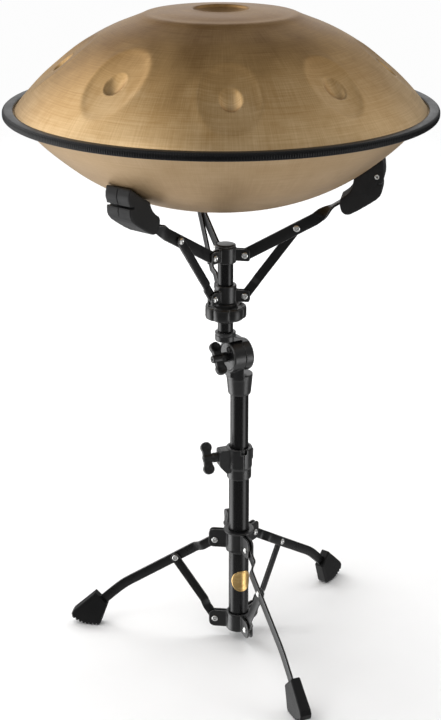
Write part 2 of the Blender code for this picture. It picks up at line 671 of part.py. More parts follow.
def tilter_upper(shank_tool):
    """Upper half, which carries the basket post."""
    upper = tilter_disc("tilter_upper", DISC_SPLIT + GAP / 2, 0.0110, tilt_axis)
    bridge = add_radial_prism(bmesh.new(), BRIDGE_OUTLINE, COLUMN, TILT_AZIMUTH,
                              -0.0097, 0.0121)
    combine(upper, 'UNION', "tilter_bridge_tool", bridge)
    combine(upper, 'UNION', "tilter_collar_tool",
            add_lathe(bmesh.new(), POST_SOCKET_PROFILE, POST))
    combine(upper, 'DIFFERENCE', "tilter_post_bore_tool",
            add_lathe(bmesh.new(), rod(POST_BORE, POST_BOTTOM - GAP, 0.50), POST))
    boolean(upper, 'DIFFERENCE', shank_tool)


tilter_upper(tilter_lower())
wing_screw("tilter_wing", TILT_CENTRE, TILT_DIRECTION,
           UP * math.cos(TILT_WING_TURN) + TILT_TANGENT * math.sin(TILT_WING_TURN), None,
           shank_radius=0.0040, tip=0.0080, seat=-0.0204, hub_length=0.0232,
           wing_at=-0.0340, wing_reach=0.0232)

# ------------------------------------------------- tubes and height clamp
UPPER_WALL, LOWER_WALL = 0.0015, 0.0013
BUSHING_TOP = 0.2985
CLAMP_DIRECTION, CLAMP_TANGENT = radial(197.0)
CLAMP_AZIMUTH = 197.0
CLAMP_SCREW = Vector((0, 0, 0.2870))     # screw axis where it meets the column
CLAMP_SLOT_AZIMUTH = LEG_AZIMUTHS[2]
CLAMP_WING_TURN = math.radians(28)
# radius, height
CLAMP_PROFILE = [
    (LOWER_BORE, 0.2530), (0.0168, 0.2530), (0.0172, 0.2540), (0.0172, 0.2690),
    (0.0184, 0.2720), (0.0185, 0.2985), (0.0178, 0.3000), (LOWER_BORE, 0.3000)]
CLAMP_BOSS = [
    (0.0155, 0.2660), (0.0200, 0.2620), (0.0300, 0.2740), (0.0310, 0.2770),
    (0.0310, 0.2960), (0.0290, 0.2990), (0.0155, 0.2990)]


def height_clamp():
    """Clamp with a screw boss, a notch in its top and a narrow slot below the notch."""
    clamp = lathe("height_clamp", CLAMP_PROFILE, COLUMN, CAST)
    boss = add_radial_prism(bmesh.new(), CLAMP_BOSS, COLUMN, CLAMP_AZIMUTH, -0.0085, 0.0085)
    combine(clamp, 'UNION', "clamp_boss_tool", boss)
    # tool name, bottom, top, half width
    for tool_name, bottom, top, half_width in (
            ("clamp_notch_tool", 0.2925, 0.3050, 0.0048),
            ("clamp_slot_tool", 0.2640, 0.2960, 0.0008)):
        opening = add_radial_prism(bmesh.new(), rectangle(0.0100, 0.0260, bottom, top), COLUMN,
                                   CLAMP_SLOT_AZIMUTH, -half_width, half_width)
        combine(clamp, 'DIFFERENCE', tool_name, opening)
    hole = add_lathe(bmesh.new(), rod(SCREW_HOLE_R, 0.0100, 0.0400), CLAMP_SCREW,
                     CLAMP_DIRECTION, 14)
    combine(clamp, 'DIFFERENCE', "clamp_screw_tool", hole)


tube("upper_tube", UPPER_R, UPPER_R - UPPER_WALL, UPPER_BOTTOM, UPPER_TOP, COLUMN, GLOSS)
tube("lower_tube", LOWER_R, LOWER_R - LOWER_WALL, LOWER_BOTTOM, LOWER_TOP, COLUMN, GLOSS)
tube("tube_bushing", LOWER_R, UPPER_R + GAP, LOWER_TOP + GAP, BUSHING_TOP, COLUMN, PLASTIC)
height_clamp()
wing_screw("clamp_wing", CLAMP_SCREW, -CLAMP_DIRECTION,
           UP * math.cos(CLAMP_WING_TURN) - CLAMP_TANGENT * math.sin(CLAMP_WING_TURN), None,
           shank_radius=SCREW_R, tip=-0.0150, seat=-0.0314, hub_length=0.0215,
           wing_at=-0.0465, wing_reach=0.0228)

# ------------------------------------------------------------------ badge
BADGE_AZIMUTH, BADGE_Z = -68.0, 0.0930
BADGE_R, BADGE_T = 0.0165, 0.0006
BADGE_RINGS, BADGE_SEGMENTS = 3, 16


def badge_ring(mesh, ring_radius, surface_radius, segments):
    """Circle of vertices wrapped round the column axis."""
    ring = []
    for j in range(segments):
        angle = 2 * math.pi * j / segments
        turn = math.radians(BADGE_AZIMUTH) + ring_radius * math.cos(angle) / LOWER_R
        ring.append(mesh.verts.new(Vector((
            surface_radius * math.cos(turn), surface_radius * math.sin(turn),
            BADGE_Z + ring_radius * math.sin(angle)))))
    return ring


def badge():
    """Thin disc wrapped round the lower tube."""
    mesh = bmesh.new()
    rims = []
    for side in (0, 1):
        surface = LOWER_R + 0.0007 + side * BADGE_T
        rings = [badge_ring(mesh, BADGE_R * k / BADGE_RINGS, surface,
                            BADGE_SEGMENTS if k else 1) for k in range(BADGE_RINGS + 1)]
        for a, b in zip(rings, rings[1:]):
            for j in range(BADGE_SEGMENTS):
                jj = (j + 1) % BADGE_SEGMENTS
                if len(a) == 1:
                    mesh.faces.new((a[0], b[j], b[jj]))
                else:
                    mesh.faces.new((a[j], b[j], b[jj], a[jj]))
        rims.append(rings[-1])
    low, high = rims
    for j in range(BADGE_SEGMENTS):
        jj = (j + 1) % BADGE_SEGMENTS
        mesh.faces.new((low[j], high[j], high[jj], low[jj]))
    place("badge", mesh, GOLD, at(COLUMN, BADGE_AZIMUTH, LOWER_R, BADGE_Z), None)


badge()

# ------------------------------------------------------------ leg collars
LOCK_AZIMUTH = (LEG_AZIMUTHS[0] + LEG_AZIMUTHS[1]) / 2
LOCK_SCREW = Vector((0, 0, 0.1600))      # screw axis where it meets the column
# radius, height
LEG_COLLAR_PROFILE = [
    (LOWER_BORE, 0.1390), (0.0180, 0.1390), (0.0186, 0.1402), (0.0178, 0.1418),
    (0.0178, 0.1690), (0.0218, 0.1696), (0.0220, 0.1708), (0.0212, 0.1720),
    (LOWER_BORE, 0.1720)]
BASE_COLLAR_PROFILE = [
    (LOWER_BORE, 0.0110), (0.0170, 0.0110), (0.0178, 0.0124), (0.0178, 0.0370),
    (0.0172, 0.0386), (LOWER_BORE, 0.0386)]
LOCK_BOSS = [(0.0158, 0.1520), (0.0240, 0.1530), (0.0240, 0.1670), (0.0158, 0.1680)]


def leg_collar(leg_collar_axis):
    """Sliding collar at the top of the legs, with its lock screw."""
    ears = dict(inner=0.0158, outer=0.0430, bottom=0.1418, top=0.1690, chamfer=0.0060)
    collar = eared_collar("leg_collar", LEG_COLLAR_PROFILE, COLUMN, LEG_AZIMUTHS, ears,
                          COLLAR_PIVOT, leg_collar_axis, UP * COLLAR_PIVOT.y)
    boss = add_radial_prism(bmesh.new(), LOCK_BOSS, COLUMN, LOCK_AZIMUTH, -0.0070, 0.0070)
    combine(collar, 'UNION', "lock_boss_tool", boss)
    outward = radial(LOCK_AZIMUTH)[0]
    hole = add_lathe(bmesh.new(), rod(SCREW_HOLE_R, 0.0100, 0.0300), LOCK_SCREW, outward, 14)
    combine(collar, 'DIFFERENCE', "lock_screw_tool", hole)
    wing_screw("leg_lock_screw", LOCK_SCREW, -outward, UP, leg_collar_axis,
               shank_radius=SCREW_R, tip=-0.0150, seat=-0.0244, hub_length=0.0220,
               wing_at=-0.0400, wing_reach=0.0240)


def base_collar():
    ears = dict(inner=0.0158, outer=0.0430, bottom=0.0120, top=0.0374, chamfer=0.0070)
    eared_collar("base_collar", BASE_COLLAR_PROFILE, COLUMN, LEG_AZIMUTHS, ears, BASE_PIVOT,
                 None, COLUMN)


leg_collar_axis = empty("leg_collar_axis", UP * COLLAR_PIVOT.y)
leg_collar(leg_collar_axis)
base_collar()

# --------------------------------------------------- legs, feet and braces
KNEE = Vector((0.1719, 0.0656))          # corner of the leg's bend
KNEE_RUN = 0.0140                        # length of leg the bend takes up each side
KNEE_STEPS = 4
ANKLE = Vector((0.2017, 0.0375))         # where the leg enters the foot
SHIN_DIRECTION = (ANKLE - KNEE).normalized()
LEG_IN_FOOT = 0.0160
# joggle by the collar: distance from the pivot, share of LEG_OFFSET
LEG_BENDS = ((0, 0), (0.0215, 0), (0.0260, 0.22), (0.0330, 0.78), (0.0375, 1))
FOOT_W = 0.0175
# side outline of the foot: radius, height
FOOT_OUTLINE = [
    (0.2135, 0.0500), (0.1952, 0.0306), (0.1965, 0.0275), (0.2062, 0.0),
    (0.2095, -FOOT_DROP), (0.2260, -FOOT_DROP), (0.2310, -0.0027), (0.2375, -0.0007),
    (0.2440, 0.0028), (0.2490, 0.0065), (0.2502, 0.0130), (0.2470, 0.0185)]
LEG_BRACE_W, LEG_BRACE_T = 0.0127, 0.0026
LEG_BRACE_OFFSET = -0.0057               # sideways set of the brace's upper end


def leg_path():
    """Centreline of a leg from its collar pivot to its end in the foot."""
    thigh = LEG_JOINT - COLLAR_PIVOT
    path = [along(COLLAR_PIVOT, thigh.normalized(), distance, LEG_OFFSET * share)
            for distance, share in LEG_BENDS]
    path.append((*LEG_JOINT, LEG_OFFSET))
    start = KNEE - (KNEE - LEG_JOINT).normalized() * KNEE_RUN
    end = KNEE + SHIN_DIRECTION * KNEE_RUN
    for k in range(KNEE_STEPS + 1):
        f = k / KNEE_STEPS
        point = start * (1 - f) ** 2 + KNEE * 2 * f * (1 - f) + end * f ** 2
        path.append((*point, LEG_OFFSET))
    path.append(along(ANKLE, SHIN_DIRECTION, LEG_IN_FOOT, LEG_OFFSET))
    return path


def leg(number, azimuth, hinge):
    bar = strap("leg_%d" % number, leg_path(), LEG_W, LEG_T, COLUMN, azimuth, hinge)
    drill(bar, "leg_hole_tool_%d" % number, COLUMN, [azimuth],
          [(COLLAR_PIVOT, PIN_HOLE_R), (LEG_JOINT, PIN_HOLE_R)], 0.020)


def foot(number, azimuth, hinge):
    """Rubber foot slotted for the end of the leg."""
    mesh = add_radial_prism(bmesh.new(), FOOT_OUTLINE, COLUMN, azimuth,
                            LEG_OFFSET - FOOT_W / 2, LEG_OFFSET + FOOT_W / 2)
    block = place("foot_%d" % number, mesh, RUBBER, world_of(hinge), hinge)
    start = ANKLE - SHIN_DIRECTION * 0.0200
    end = ANKLE + SHIN_DIRECTION * (LEG_IN_FOOT + LEG_W / 2 + 0.0004)
    across = Vector((-SHIN_DIRECTION.y, SHIN_DIRECTION.x)) * (LEG_W / 2 + GAP)
    slot = [start - across, end - across, end + across, start + across]
    mesh = add_radial_prism(bmesh.new(), slot, COLUMN, azimuth,
                            LEG_OFFSET - LEG_T / 2 - GAP, LEG_OFFSET + LEG_T / 2 + GAP)
    combine(block, 'DIFFERENCE', "foot_slot_tool_%d" % number, mesh)


def leg_brace(number, azimuth, hinge):
    """Brace from the base collar to the leg."""
    run = LEG_JOINT - BASE_PIVOT
    # distance from the base pivot, sideways
    bends = ((0, 0), (0.0200, 0), (0.0330, LEG_BRACE_OFFSET), (run.length, LEG_BRACE_OFFSET))
    path = [along(BASE_PIVOT, run.normalized(), *bend) for bend in bends]
    brace = strap("leg_brace_%d" % number, path, LEG_BRACE_W, LEG_BRACE_T, COLUMN, azimuth,
                  hinge)
    drill(brace, "leg_brace_hole_tool_%d" % number, COLUMN, [azimuth],
          [(BASE_PIVOT, PIN_HOLE_R), (LEG_JOINT, PIN_HOLE_R)], 0.012)


for number, azimuth in enumerate(LEG_AZIMUTHS, 1):
    leg_axis = empty("leg_axis_%d" % number, at(COLUMN, azimuth, *COLLAR_PIVOT),
                     leg_collar_axis)
    leg(number, azimuth, leg_axis)
    foot(number, azimuth, leg_axis)
    brace_axis = empty("leg_brace_axis_%d" % number, at(COLUMN, azimuth, *BASE_PIVOT))
    leg_brace(number, azimuth, brace_axis)
    pin("collar_rivet_%d" % number, COLUMN, azimuth, COLLAR_PIVOT, leg_collar_axis)
    pin("base_rivet_%d" % number, COLUMN, azimuth, BASE_PIVOT, None)
    # this rivet stops at the leg's counter-clockwise face, short of the brace
    pin("leg_rivet_%d" % number, COLUMN, azimuth, LEG_JOINT, leg_axis,
        start=LEG_OFFSET - LEG_T / 2 - GAP, end=LEG_OFFSET + LEG_T / 2 + 0.0001,
        end_head=False)

# ------------------------------------------------------------ whole stand
loose_objects = [ob for ob in bpy.data.objects if ob.parent is None]
stand_axis = empty("stand_axis", Vector((-PAN_CENTRE.x, -PAN_CENTRE.y, FOOT_DROP)))
for ob in loose_objects:
    ob.parent = stand_axis
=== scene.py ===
import math
import bpy
import bmesh
import numpy as np
from mathutils import Vector, Matrix


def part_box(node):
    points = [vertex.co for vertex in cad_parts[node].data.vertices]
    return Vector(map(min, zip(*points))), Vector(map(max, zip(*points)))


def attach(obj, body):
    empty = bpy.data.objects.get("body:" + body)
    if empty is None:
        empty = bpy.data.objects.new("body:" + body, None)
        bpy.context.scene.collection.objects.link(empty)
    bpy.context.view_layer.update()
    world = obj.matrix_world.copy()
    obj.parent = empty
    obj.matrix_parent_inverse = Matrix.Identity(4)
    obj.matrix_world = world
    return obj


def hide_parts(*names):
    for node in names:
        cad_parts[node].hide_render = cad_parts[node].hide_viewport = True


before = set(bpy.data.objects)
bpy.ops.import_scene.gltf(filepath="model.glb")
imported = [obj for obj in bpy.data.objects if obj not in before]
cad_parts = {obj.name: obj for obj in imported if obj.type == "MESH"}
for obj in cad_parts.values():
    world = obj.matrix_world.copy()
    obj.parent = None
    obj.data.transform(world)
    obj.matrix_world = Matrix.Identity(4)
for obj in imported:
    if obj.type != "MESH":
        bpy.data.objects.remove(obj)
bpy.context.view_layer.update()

scene = bpy.context.scene
COLL = scene.collection
UP = Vector((0, 0, 1))

# --------------------------------------------------------------- places
def mid(node):
    lo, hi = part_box(node)
    return (lo + hi) / 2


# stand sizes are measured from the axis of the lower column, at OFF in the frame
OFF = Vector((mid("lower_tube").x, mid("lower_tube").y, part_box("lower_tube")[0].z - 0.0100))
PAN_W = mid("rim_trim")
PAN_C = PAN_W - OFF
POST_C = Vector((mid("basket_post").x - OFF.x, mid("basket_post").y - OFF.y, 0.0))
BRASS_R, TRIM_R, TRIM_H = 0.2650, 0.2800, 0.0100
LOW_STATIONS = ((0.0, 129.0), (52.0, 123.5), (90.0, 115.0), (125.0, 104.5), (155.0, 91.5), (185.0, 74.0), (210.0, 55.0),
                (235.0, 33.0), (252.0, 15.0), (260.0, 7.0), (265.0, 1.8))
PORT_R, PORT_NECK = 0.0520, 0.0220
ARM_AZ = (-9.4, 110.6, 230.6)
LEG_AZ = (52.6, 172.6, 292.6)
B_PIV_R, HUB_Z, SLD_Z = 0.0264, 0.5826, 0.5256
B_JOINT = (0.0949, 0.6220)
ARM_W, ARM_T, BBR_W, BBR_T, GRIP_W = 0.0160, 0.0030, 0.0127, 0.0026, 0.0400
TILT_Z, TILT_AZ, DISC_R = 0.4370, 30.0, 0.0225
L_PIV_R, COL_Z, BASE_Z = 0.03415, 0.1529, 0.0247
L_JOINT = (0.09335, 0.1151)
LEG_W, LEG_T, LBR_W, LBR_T = 0.0140, 0.0030, 0.0127, 0.0026
LEG_OFF, LBR_OFF, FOOT_W, FOOT_DROP = -0.0090, -0.0057, 0.0175, 0.0035
KNEE, KNEE_RUN, ANKLE = (0.1719, 0.0656), 0.0140, (0.2017, 0.0375)
LOCK_Z = 0.1600
EAR_IN, EAR_T = 0.00185, 0.0025
PIN_R, PIN_HEAD_R, PIN_HEAD_H = 0.0025, 0.0046, 0.0020
CLAMP_AZ, CLAMP_Z = 197.0, 0.2870
LT_R, UT_R, POST_R = 0.0143, 0.0127, 0.0105
GAP = 0.0003


def radial(az):
    a = math.radians(az)
    r = Vector((math.cos(a), math.sin(a), 0.0))
    return r, Vector((-r.y, r.x, 0.0))


# ------------------------------------------------------------ materials
class Nodes:
    def __init__(self, name):
        self.m = bpy.data.materials.new(name)
        self.m.use_nodes = True
        self.t = self.m.node_tree
        self.b = self.t.nodes["Principled BSDF"]
        self.out = self.t.nodes["Material Output"]

    def n(self, kind, **props):
        x = self.t.nodes.new(kind)
        for k, v in props.items():
            setattr(x, k, v)
        return x

    def link(self, a, b):
        self.t.links.new(a, b)

    def val(self, node, key, v):
        node.inputs[key].default_value = v
        return node

    def coords(self):
        return self.n("ShaderNodeTexCoord").outputs["Object"]

    def mapping(self, vec, scale=(1, 1, 1), loc=(0, 0, 0)):
        m = self.n("ShaderNodeMapping")
        self.link(vec, m.inputs["Vector"])
        m.inputs["Scale"].default_value = scale
        m.inputs["Location"].default_value = loc
        return m.outputs["Vector"]

    def noise(self, vec, scale, detail=4.0, rough=0.55, dist=0.0):
        x = self.n("ShaderNodeTexNoise")
        self.link(vec, x.inputs["Vector"])
        x.inputs["Scale"].default_value = scale
        x.inputs["Detail"].default_value = detail
        x.inputs["Roughness"].default_value = rough
        x.inputs["Distortion"].default_value = dist
        return x.outputs["Fac"]

    def ramp(self, fac, stops):
        x = self.n("ShaderNodeValToRGB")
        self.link(fac, x.inputs["Fac"])
        e = x.color_ramp.elements
        while len(e) < len(stops):
            e.new(0.5)
        for i, (p, c) in enumerate(stops):
            e[i].position = p
            e[i].color = (c[0], c[1], c[2], 1.0) if len(c) >= 3 else (c[0],) * 3 + (1.0,)
        return x.outputs["Color"]

    def rng(self, fac, a, b, c, d):
        x = self.n("ShaderNodeMapRange")
        self.link(fac, x.inputs["Value"])
        for k, v in zip(("From Min", "From Max", "To Min", "To Max"), (a, b, c, d)):
            x.inputs[k].default_value = v
        return x.outputs["Result"]

    def math(self, op, a, b=None):
        x = self.n("ShaderNodeMath", operation=op)
        for i, v in enumerate((a, b)):
            if v is None:
                continue
            if isinstance(v, (int, float)):
                x.inputs[i].default_value = v
            else:
                self.link(v, x.inputs[i])
        return x.outputs[0]

    def mix(self, fac, a, b, blend="MIX"):
        x = self.n("ShaderNodeMix", data_type="RGBA", blend_type=blend)
        if isinstance(fac, (int, float)):
            x.inputs[0].default_value = fac
        else:
            self.link(fac, x.inputs[0])
        for i, v in ((6, a), (7, b)):
            if isinstance(v, tuple):
                x.inputs[i].default_value = (v[0], v[1], v[2], 1.0)
            else:
                self.link(v, x.inputs[i])
        return x.outputs[2]

    def bump(self, height, strength, distance=0.001, normal=None):
        x = self.n("ShaderNodeBump")
        x.inputs["Strength"].default_value = strength
        x.inputs["Distance"].default_value = distance
        self.link(height, x.inputs["Height"])
        if normal is not None:
            self.link(normal, x.inputs["Normal"])
        return x.outputs["Normal"]

    def set(self, color=None, rough=None, normal=None, metal=None, spec=None):
        for key, v in (("Base Color", color), ("Roughness", rough), ("Normal", normal), ("Metallic", metal),
                       ("Specular IOR Level", spec)):
            if v is None:
                continue
            if isinstance(v, (int, float)):
                self.b.inputs[key].default_value = v
            elif isinstance(v, tuple):
                self.b.inputs[key].default_value = (v[0], v[1], v[2], 1.0)
            else:
                self.link(v, self.b.inputs[key])
        return self.m


def bronze(name, dark, midc, light, low):
    """Heat-tinted sheet steel with fine turned and radial hairlines; the colour also pales towards the rim and darkens
    towards the crown as painted reflection of a bright horizon and a dark sky.
    """
    N = Nodes(name)
    vec = N.mapping(N.coords(), loc=(-PAN_W.x, -PAN_W.y, -PAN_W.z))
    sep = N.n("ShaderNodeSeparateXYZ")
    N.link(vec, sep.inputs[0])
    x, y, z = sep.outputs
    r = N.math("SQRT", N.math("ADD", N.math("MULTIPLY", x, x), N.math("MULTIPLY", y, y)))
    th = N.math("ARCTAN2", y, x)
    comb = N.n("ShaderNodeCombineXYZ")
    N.link(N.math("MULTIPLY", th, 0.9), comb.inputs[0])
    N.link(N.math("MULTIPLY", r, 260.0), comb.inputs[1])
    rings = N.noise(comb.outputs[0], 3.0, 3.0, 0.65)
    comb2 = N.n("ShaderNodeCombineXYZ")
    N.link(N.math("MULTIPLY", th, 62.0), comb2.inputs[0])
    N.link(N.math("MULTIPLY", r, 7.0), comb2.inputs[1])
    spokes = N.noise(comb2.outputs[0], 3.0, 3.0, 0.65)
    cloud = N.noise(vec, 6.0, 5.0, 0.55, 0.6)
    cloud2 = N.noise(vec, 22.0, 4.0, 0.6, 0.3)
    grain = N.noise(N.mapping(vec, scale=(1, 1, 1)), 900.0, 2.0, 0.5)
    line = N.math("ADD", N.math("MULTIPLY", rings, 0.55), N.math("MULTIPLY", spokes, 0.45))
    # painted reflection and shade: the colour runs paler near the rim plane and darker higher up the shell, standing in
    # for the bright horizon seen in the steep flanks and the dark sky seen in the flat top
    zed = N.math("ABSOLUTE", z)
    if low:
        f = N.rng(zed, 0.0, 0.13, 0.75, 0.35)
    else:
        f = N.rng(zed, 0.0, 0.125, 0.85, 0.12)
    f = N.math("ADD", f, N.math("MULTIPLY", N.math("SUBTRACT", cloud, 0.5), 0.95))
    f = N.math("ADD", f, N.math("MULTIPLY", N.math("SUBTRACT", cloud2, 0.5), 0.45))
    f = N.math("ADD", f, N.math("MULTIPLY", N.math("SUBTRACT", line, 0.5), 1.0))
    col = N.ramp(f, [(0.0, dark), (0.5, midc), (1.0, light)])
    rough = N.rng(N.math("ADD", cloud, N.math("MULTIPLY", line, 0.6)), 0.4, 1.1, 0.36, 0.52)
    h = N.math("ADD", line, N.math("MULTIPLY", grain, 0.35))
    nor = N.bump(h, 0.22, 0.0004)
    return N.set(col, rough, nor, 1.0)


def coated(name, base, lift, rough, grain_scale, bump, metal=0.0, stretch=(1, 1, 1), spec=0.5, edge=0.0):
    """Paint or powder coat: fine orange peel, patchy sheen, light dust wear; with edge set, edges are painted lighter
    grey as wear and painted edge highlight.
    """
    N = Nodes(name)
    vec = N.mapping(N.coords(), scale=stretch)
    a = N.noise(vec, 35.0, 5.0, 0.6, 0.4)
    g = N.noise(vec, grain_scale, 3.0, 0.6)
    col = N.ramp(N.math("ADD", N.math("MULTIPLY", a, 0.7), N.math("MULTIPLY", g, 0.3)),
                 [(0.3, base), (0.75, lift)])
    ro = N.rng(N.math("ADD", a, N.math("MULTIPLY", g, 0.4)), 0.4, 1.0, rough * 0.82, min(1.0, rough * 1.2))
    if edge:
        # handling wear and painted edge highlight: edges are painted lighter grey than the faces
        bev = N.n("ShaderNodeBevel", samples=4)
        bev.inputs["Radius"].default_value = edge
        geo = N.n("ShaderNodeNewGeometry")
        dot = N.n("ShaderNodeVectorMath", operation="DOT_PRODUCT")
        N.link(bev.outputs["Normal"], dot.inputs[0])
        N.link(geo.outputs["Normal"], dot.inputs[1])
        wear_and_edge_highlight = N.rng(N.math("MULTIPLY", dot.outputs["Value"], 1.0), 0.995, 0.86, 0.0, 1.0)
        wear_and_edge_highlight = N.math("MULTIPLY", wear_and_edge_highlight, N.rng(a, 0.30, 0.62, 0.45, 1.0))
        col = N.mix(wear_and_edge_highlight, col, (0.42, 0.42, 0.42))
    return N.set(col, ro, N.bump(g, bump, 0.0003), metal, spec)


def plated(name, dark, light, rough, axis_scale):
    N = Nodes(name)
    vec = N.coords()
    a = N.noise(N.mapping(vec, scale=axis_scale), 90.0, 4.0, 0.7)
    b = N.noise(vec, 700.0, 3.0, 0.6)
    col = N.ramp(a, [(0.3, dark), (0.7, light)])
    ro = N.rng(b, 0.3, 0.7, rough * 0.8, rough * 1.3)
    return N.set(col, ro, N.bump(N.math("ADD", a, b), 0.12, 0.0002), 1.0)


# both shells are the same steel; the top shell's ramp reaches a darker brown than the lower one's as painted shade of
# the dark sky over the crown
M_TOP = bronze("bronze_top", (0.27, 0.146, 0.050), (0.50, 0.315, 0.135), (0.78, 0.575, 0.33), False)
M_LOW = bronze("bronze_low", (0.36, 0.225, 0.105), (0.54, 0.370, 0.200), (0.70, 0.520, 0.320), True)
M_TRIM = coated("trim_rubber", (0.0030, 0.0030, 0.0032), (0.0070, 0.0070, 0.0075), 0.34, 1400.0, 0.25, spec=0.16)
M_COAT = coated("powder_coat", (0.0040, 0.0040, 0.0042), (0.0090, 0.0090, 0.0093), 0.30, 1500.0, 0.30, spec=0.42, edge=0.0009)
M_TUBE = coated("tube_enamel", (0.0032, 0.0032, 0.0034), (0.0070, 0.0070, 0.0073), 0.26, 1100.0, 0.15, stretch=(1, 1, 0.08),
                spec=0.34)
M_CAST = coated("cast_alloy", (0.0050, 0.0050, 0.0052), (0.0130, 0.0130, 0.0134), 0.30, 900.0, 0.40, spec=0.62, edge=0.0009)
M_NYLON = coated("nylon", (0.0040, 0.0040, 0.0040), (0.0100, 0.0100, 0.0100), 0.32, 1200.0, 0.30, spec=0.50, edge=0.0009)
M_RUBBER = coated("grip_rubber", (0.0080, 0.0080, 0.0085), (0.0170, 0.0170, 0.0180), 0.52, 1000.0, 0.6, spec=0.30)
M_BOOT = coated("boot_rubber", (0.0030, 0.0030, 0.0032), (0.0068, 0.0068, 0.0070), 0.42, 900.0, 0.5, spec=0.26)
M_NICKEL = plated("nickel", (0.66, 0.66, 0.65), (0.94, 0.94, 0.92), 0.26, (1, 1, 1))
M_GOLD = plated("gold_foil", (0.66, 0.41, 0.14), (0.88, 0.62, 0.28), 0.34, (1, 1, 6))


# -------------------------------------------------------------- helpers
def finish_object(name, me, mat, body, nodes=(), sharp=35.0, weighted=False):
    me.transform(Matrix.Translation(OFF))
    me.materials.clear()
    me.materials.append(mat)
    me.shade_smooth()
    if sharp:
        me.set_sharp_from_angle(angle=math.radians(sharp))
    ob = bpy.data.objects.new(name, me)
    COLL.objects.link(ob)
    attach(ob, body)
    if nodes:
        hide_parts(*nodes)
    return ob


def to_mesh(bm, name):
    bmesh.ops.remove_doubles(bm, verts=bm.verts, dist=1e-7)
    bmesh.ops.recalc_face_normals(bm, faces=bm.faces)
    me = bpy.data.meshes.new(name)
    bm.to_mesh(me)
    bm.free()
    return me


def with_modifiers(me, mods):
    """Run a list of (type, settings) modifiers on a mesh and return the result."""
    ob = bpy.data.objects.new("tmp", me)
    COLL.objects.link(ob)
    for kind, settings in mods:
        m = ob.modifiers.new(kind, kind)
        for k, v in settings.items():
            setattr(m, k, v)
    dg = bpy.context.evaluated_depsgraph_get()
    out = bpy.data.meshes.new_from_object(ob.evaluated_get(dg))
    bpy.data.objects.remove(ob)
    return out


def cut_with(me, tool_me):
    tool = bpy.data.objects.new("tool", tool_me)
    COLL.objects.link(tool)
    out = with_modifiers(me, [("BOOLEAN", {"operation": "DIFFERENCE", "solver": "EXACT", "object": tool})])
    bpy.data.objects.remove(tool)
    return out


def cast_mesh(me, voxel=0.0006, smooth=4, keep=0.35):
    """Fuse overlapping solids into one skin with soft, cast-looking edges."""
    return with_modifiers(me, [
        ("REMESH", {"mode": "VOXEL", "voxel_size": voxel, "adaptivity": 0.0}),
        ("SMOOTH", {"factor": 0.5, "iterations": smooth}),
        ("DECIMATE", {"decimate_type": "COLLAPSE", "ratio": keep})])


def bevelled(me, width=0.0005, segs=2, angle=35.0):
    return with_modifiers(me, [("BEVEL", {"width": width, "segments": segs, "limit_method": "ANGLE",
                                          "angle_limit": math.radians(angle), "use_clamp_overlap": True})])


def fillet(profile, rad, n=3, closed=True):
    """Round the corners of a 2-D outline."""
    out = []
    N = len(profile)
    for i, p in enumerate(profile):
        if not closed and (i == 0 or i == N - 1):
            out.append(p)
            continue
        a = Vector(profile[i - 1])
        b = Vector(p)
        c = Vector(profile[(i + 1) % N])
        u, v = (a - b), (c - b)
        if u.length < 1e-9 or v.length < 1e-9:
            out.append(p)
            continue
        ang = u.angle(v)
        if ang > math.radians(165):
            out.append(p)
            continue
        d = min(rad / math.tan(ang / 2), u.length * 0.45, v.length * 0.45)
        p0, p1 = b + u.normalized() * d, b + v.normalized() * d
        for k in range(n + 1):
            t = k / n
            q = p0 * (1 - t) ** 2 + b * 2 * t * (1 - t) + p1 * t ** 2
            out.append((q.x, q.y))
    return out


def add_lathe(bm, profile, centre, axis=UP, segs=64, phase=0.0, radius_fn=None):
    axis = Vector(axis).normalized()
    ref = UP if abs(axis.z) < 0.9 else Vector((1, 0, 0))
    u = (ref - axis * ref.dot(axis)).normalized()
    v = axis.cross(u)
    centre = Vector(centre)
    rings = []
    for r, h in profile:
        if r < 1e-9:
            rings.append([bm.verts.new(centre + axis * h)])
            continue
        ring = []
        for i in range(segs):
            a = phase + 2 * math.pi * i / segs
            rr = radius_fn(r, a, h) if radius_fn else r
            ring.append(bm.verts.new(centre + axis * h + (u * math.cos(a) + v * math.sin(a)) * rr))
        rings.append(ring)
    closed = len(rings[0]) > 1
    n = len(rings)
    for k in range(n if closed else n - 1):
        a, b = rings[k], rings[(k + 1) % n]
        for i in range(segs):
            j = (i + 1) % segs
            if len(a) == 1 and len(b) == 1:
                continue
            if len(a) == 1:
                bm.faces.new((a[0], b[i], b[j]))
            elif len(b) == 1:
                bm.faces.new((a[i], b[0], a[j]))
            else:
                bm.faces.new((a[i], b[i], b[j], a[j]))


def add_prism(bm, outline, origin, u, v, w, t0, t1):
    lo = [bm.verts.new(origin + u * a + v * b + w * t0) for a, b in outline]
    hi = [bm.verts.new(origin + u * a + v * b + w * t1) for a, b in outline]
    n = len(outline)
    bm.faces.new(lo)
    bm.faces.new(list(reversed(hi)))
    for i in range(n):
        j = (i + 1) % n
        bm.faces.new((lo[i], lo[j], hi[j], hi[i]))


def arc(cx, cy, r, a0, a1, n):
    return [(cx + r * math.cos(math.radians(a0 + (a1 - a0) * i / n)),
             cy + r * math.sin(math.radians(a0 + (a1 - a0) * i / n))) for i in range(n + 1)]


def turned(name, profile, centre, mat, body, nodes=(), axis=UP, segs=96, rad=0.0, closed=True,
           radius_fn=None, sharp=40.0):
    if rad:
        profile = fillet(profile, rad, 3, closed)
    bm = bmesh.new()
    add_lathe(bm, profile, centre, axis, segs, 0.0, radius_fn)
    return finish_object(name, to_mesh(bm, name), mat, body, nodes, sharp)


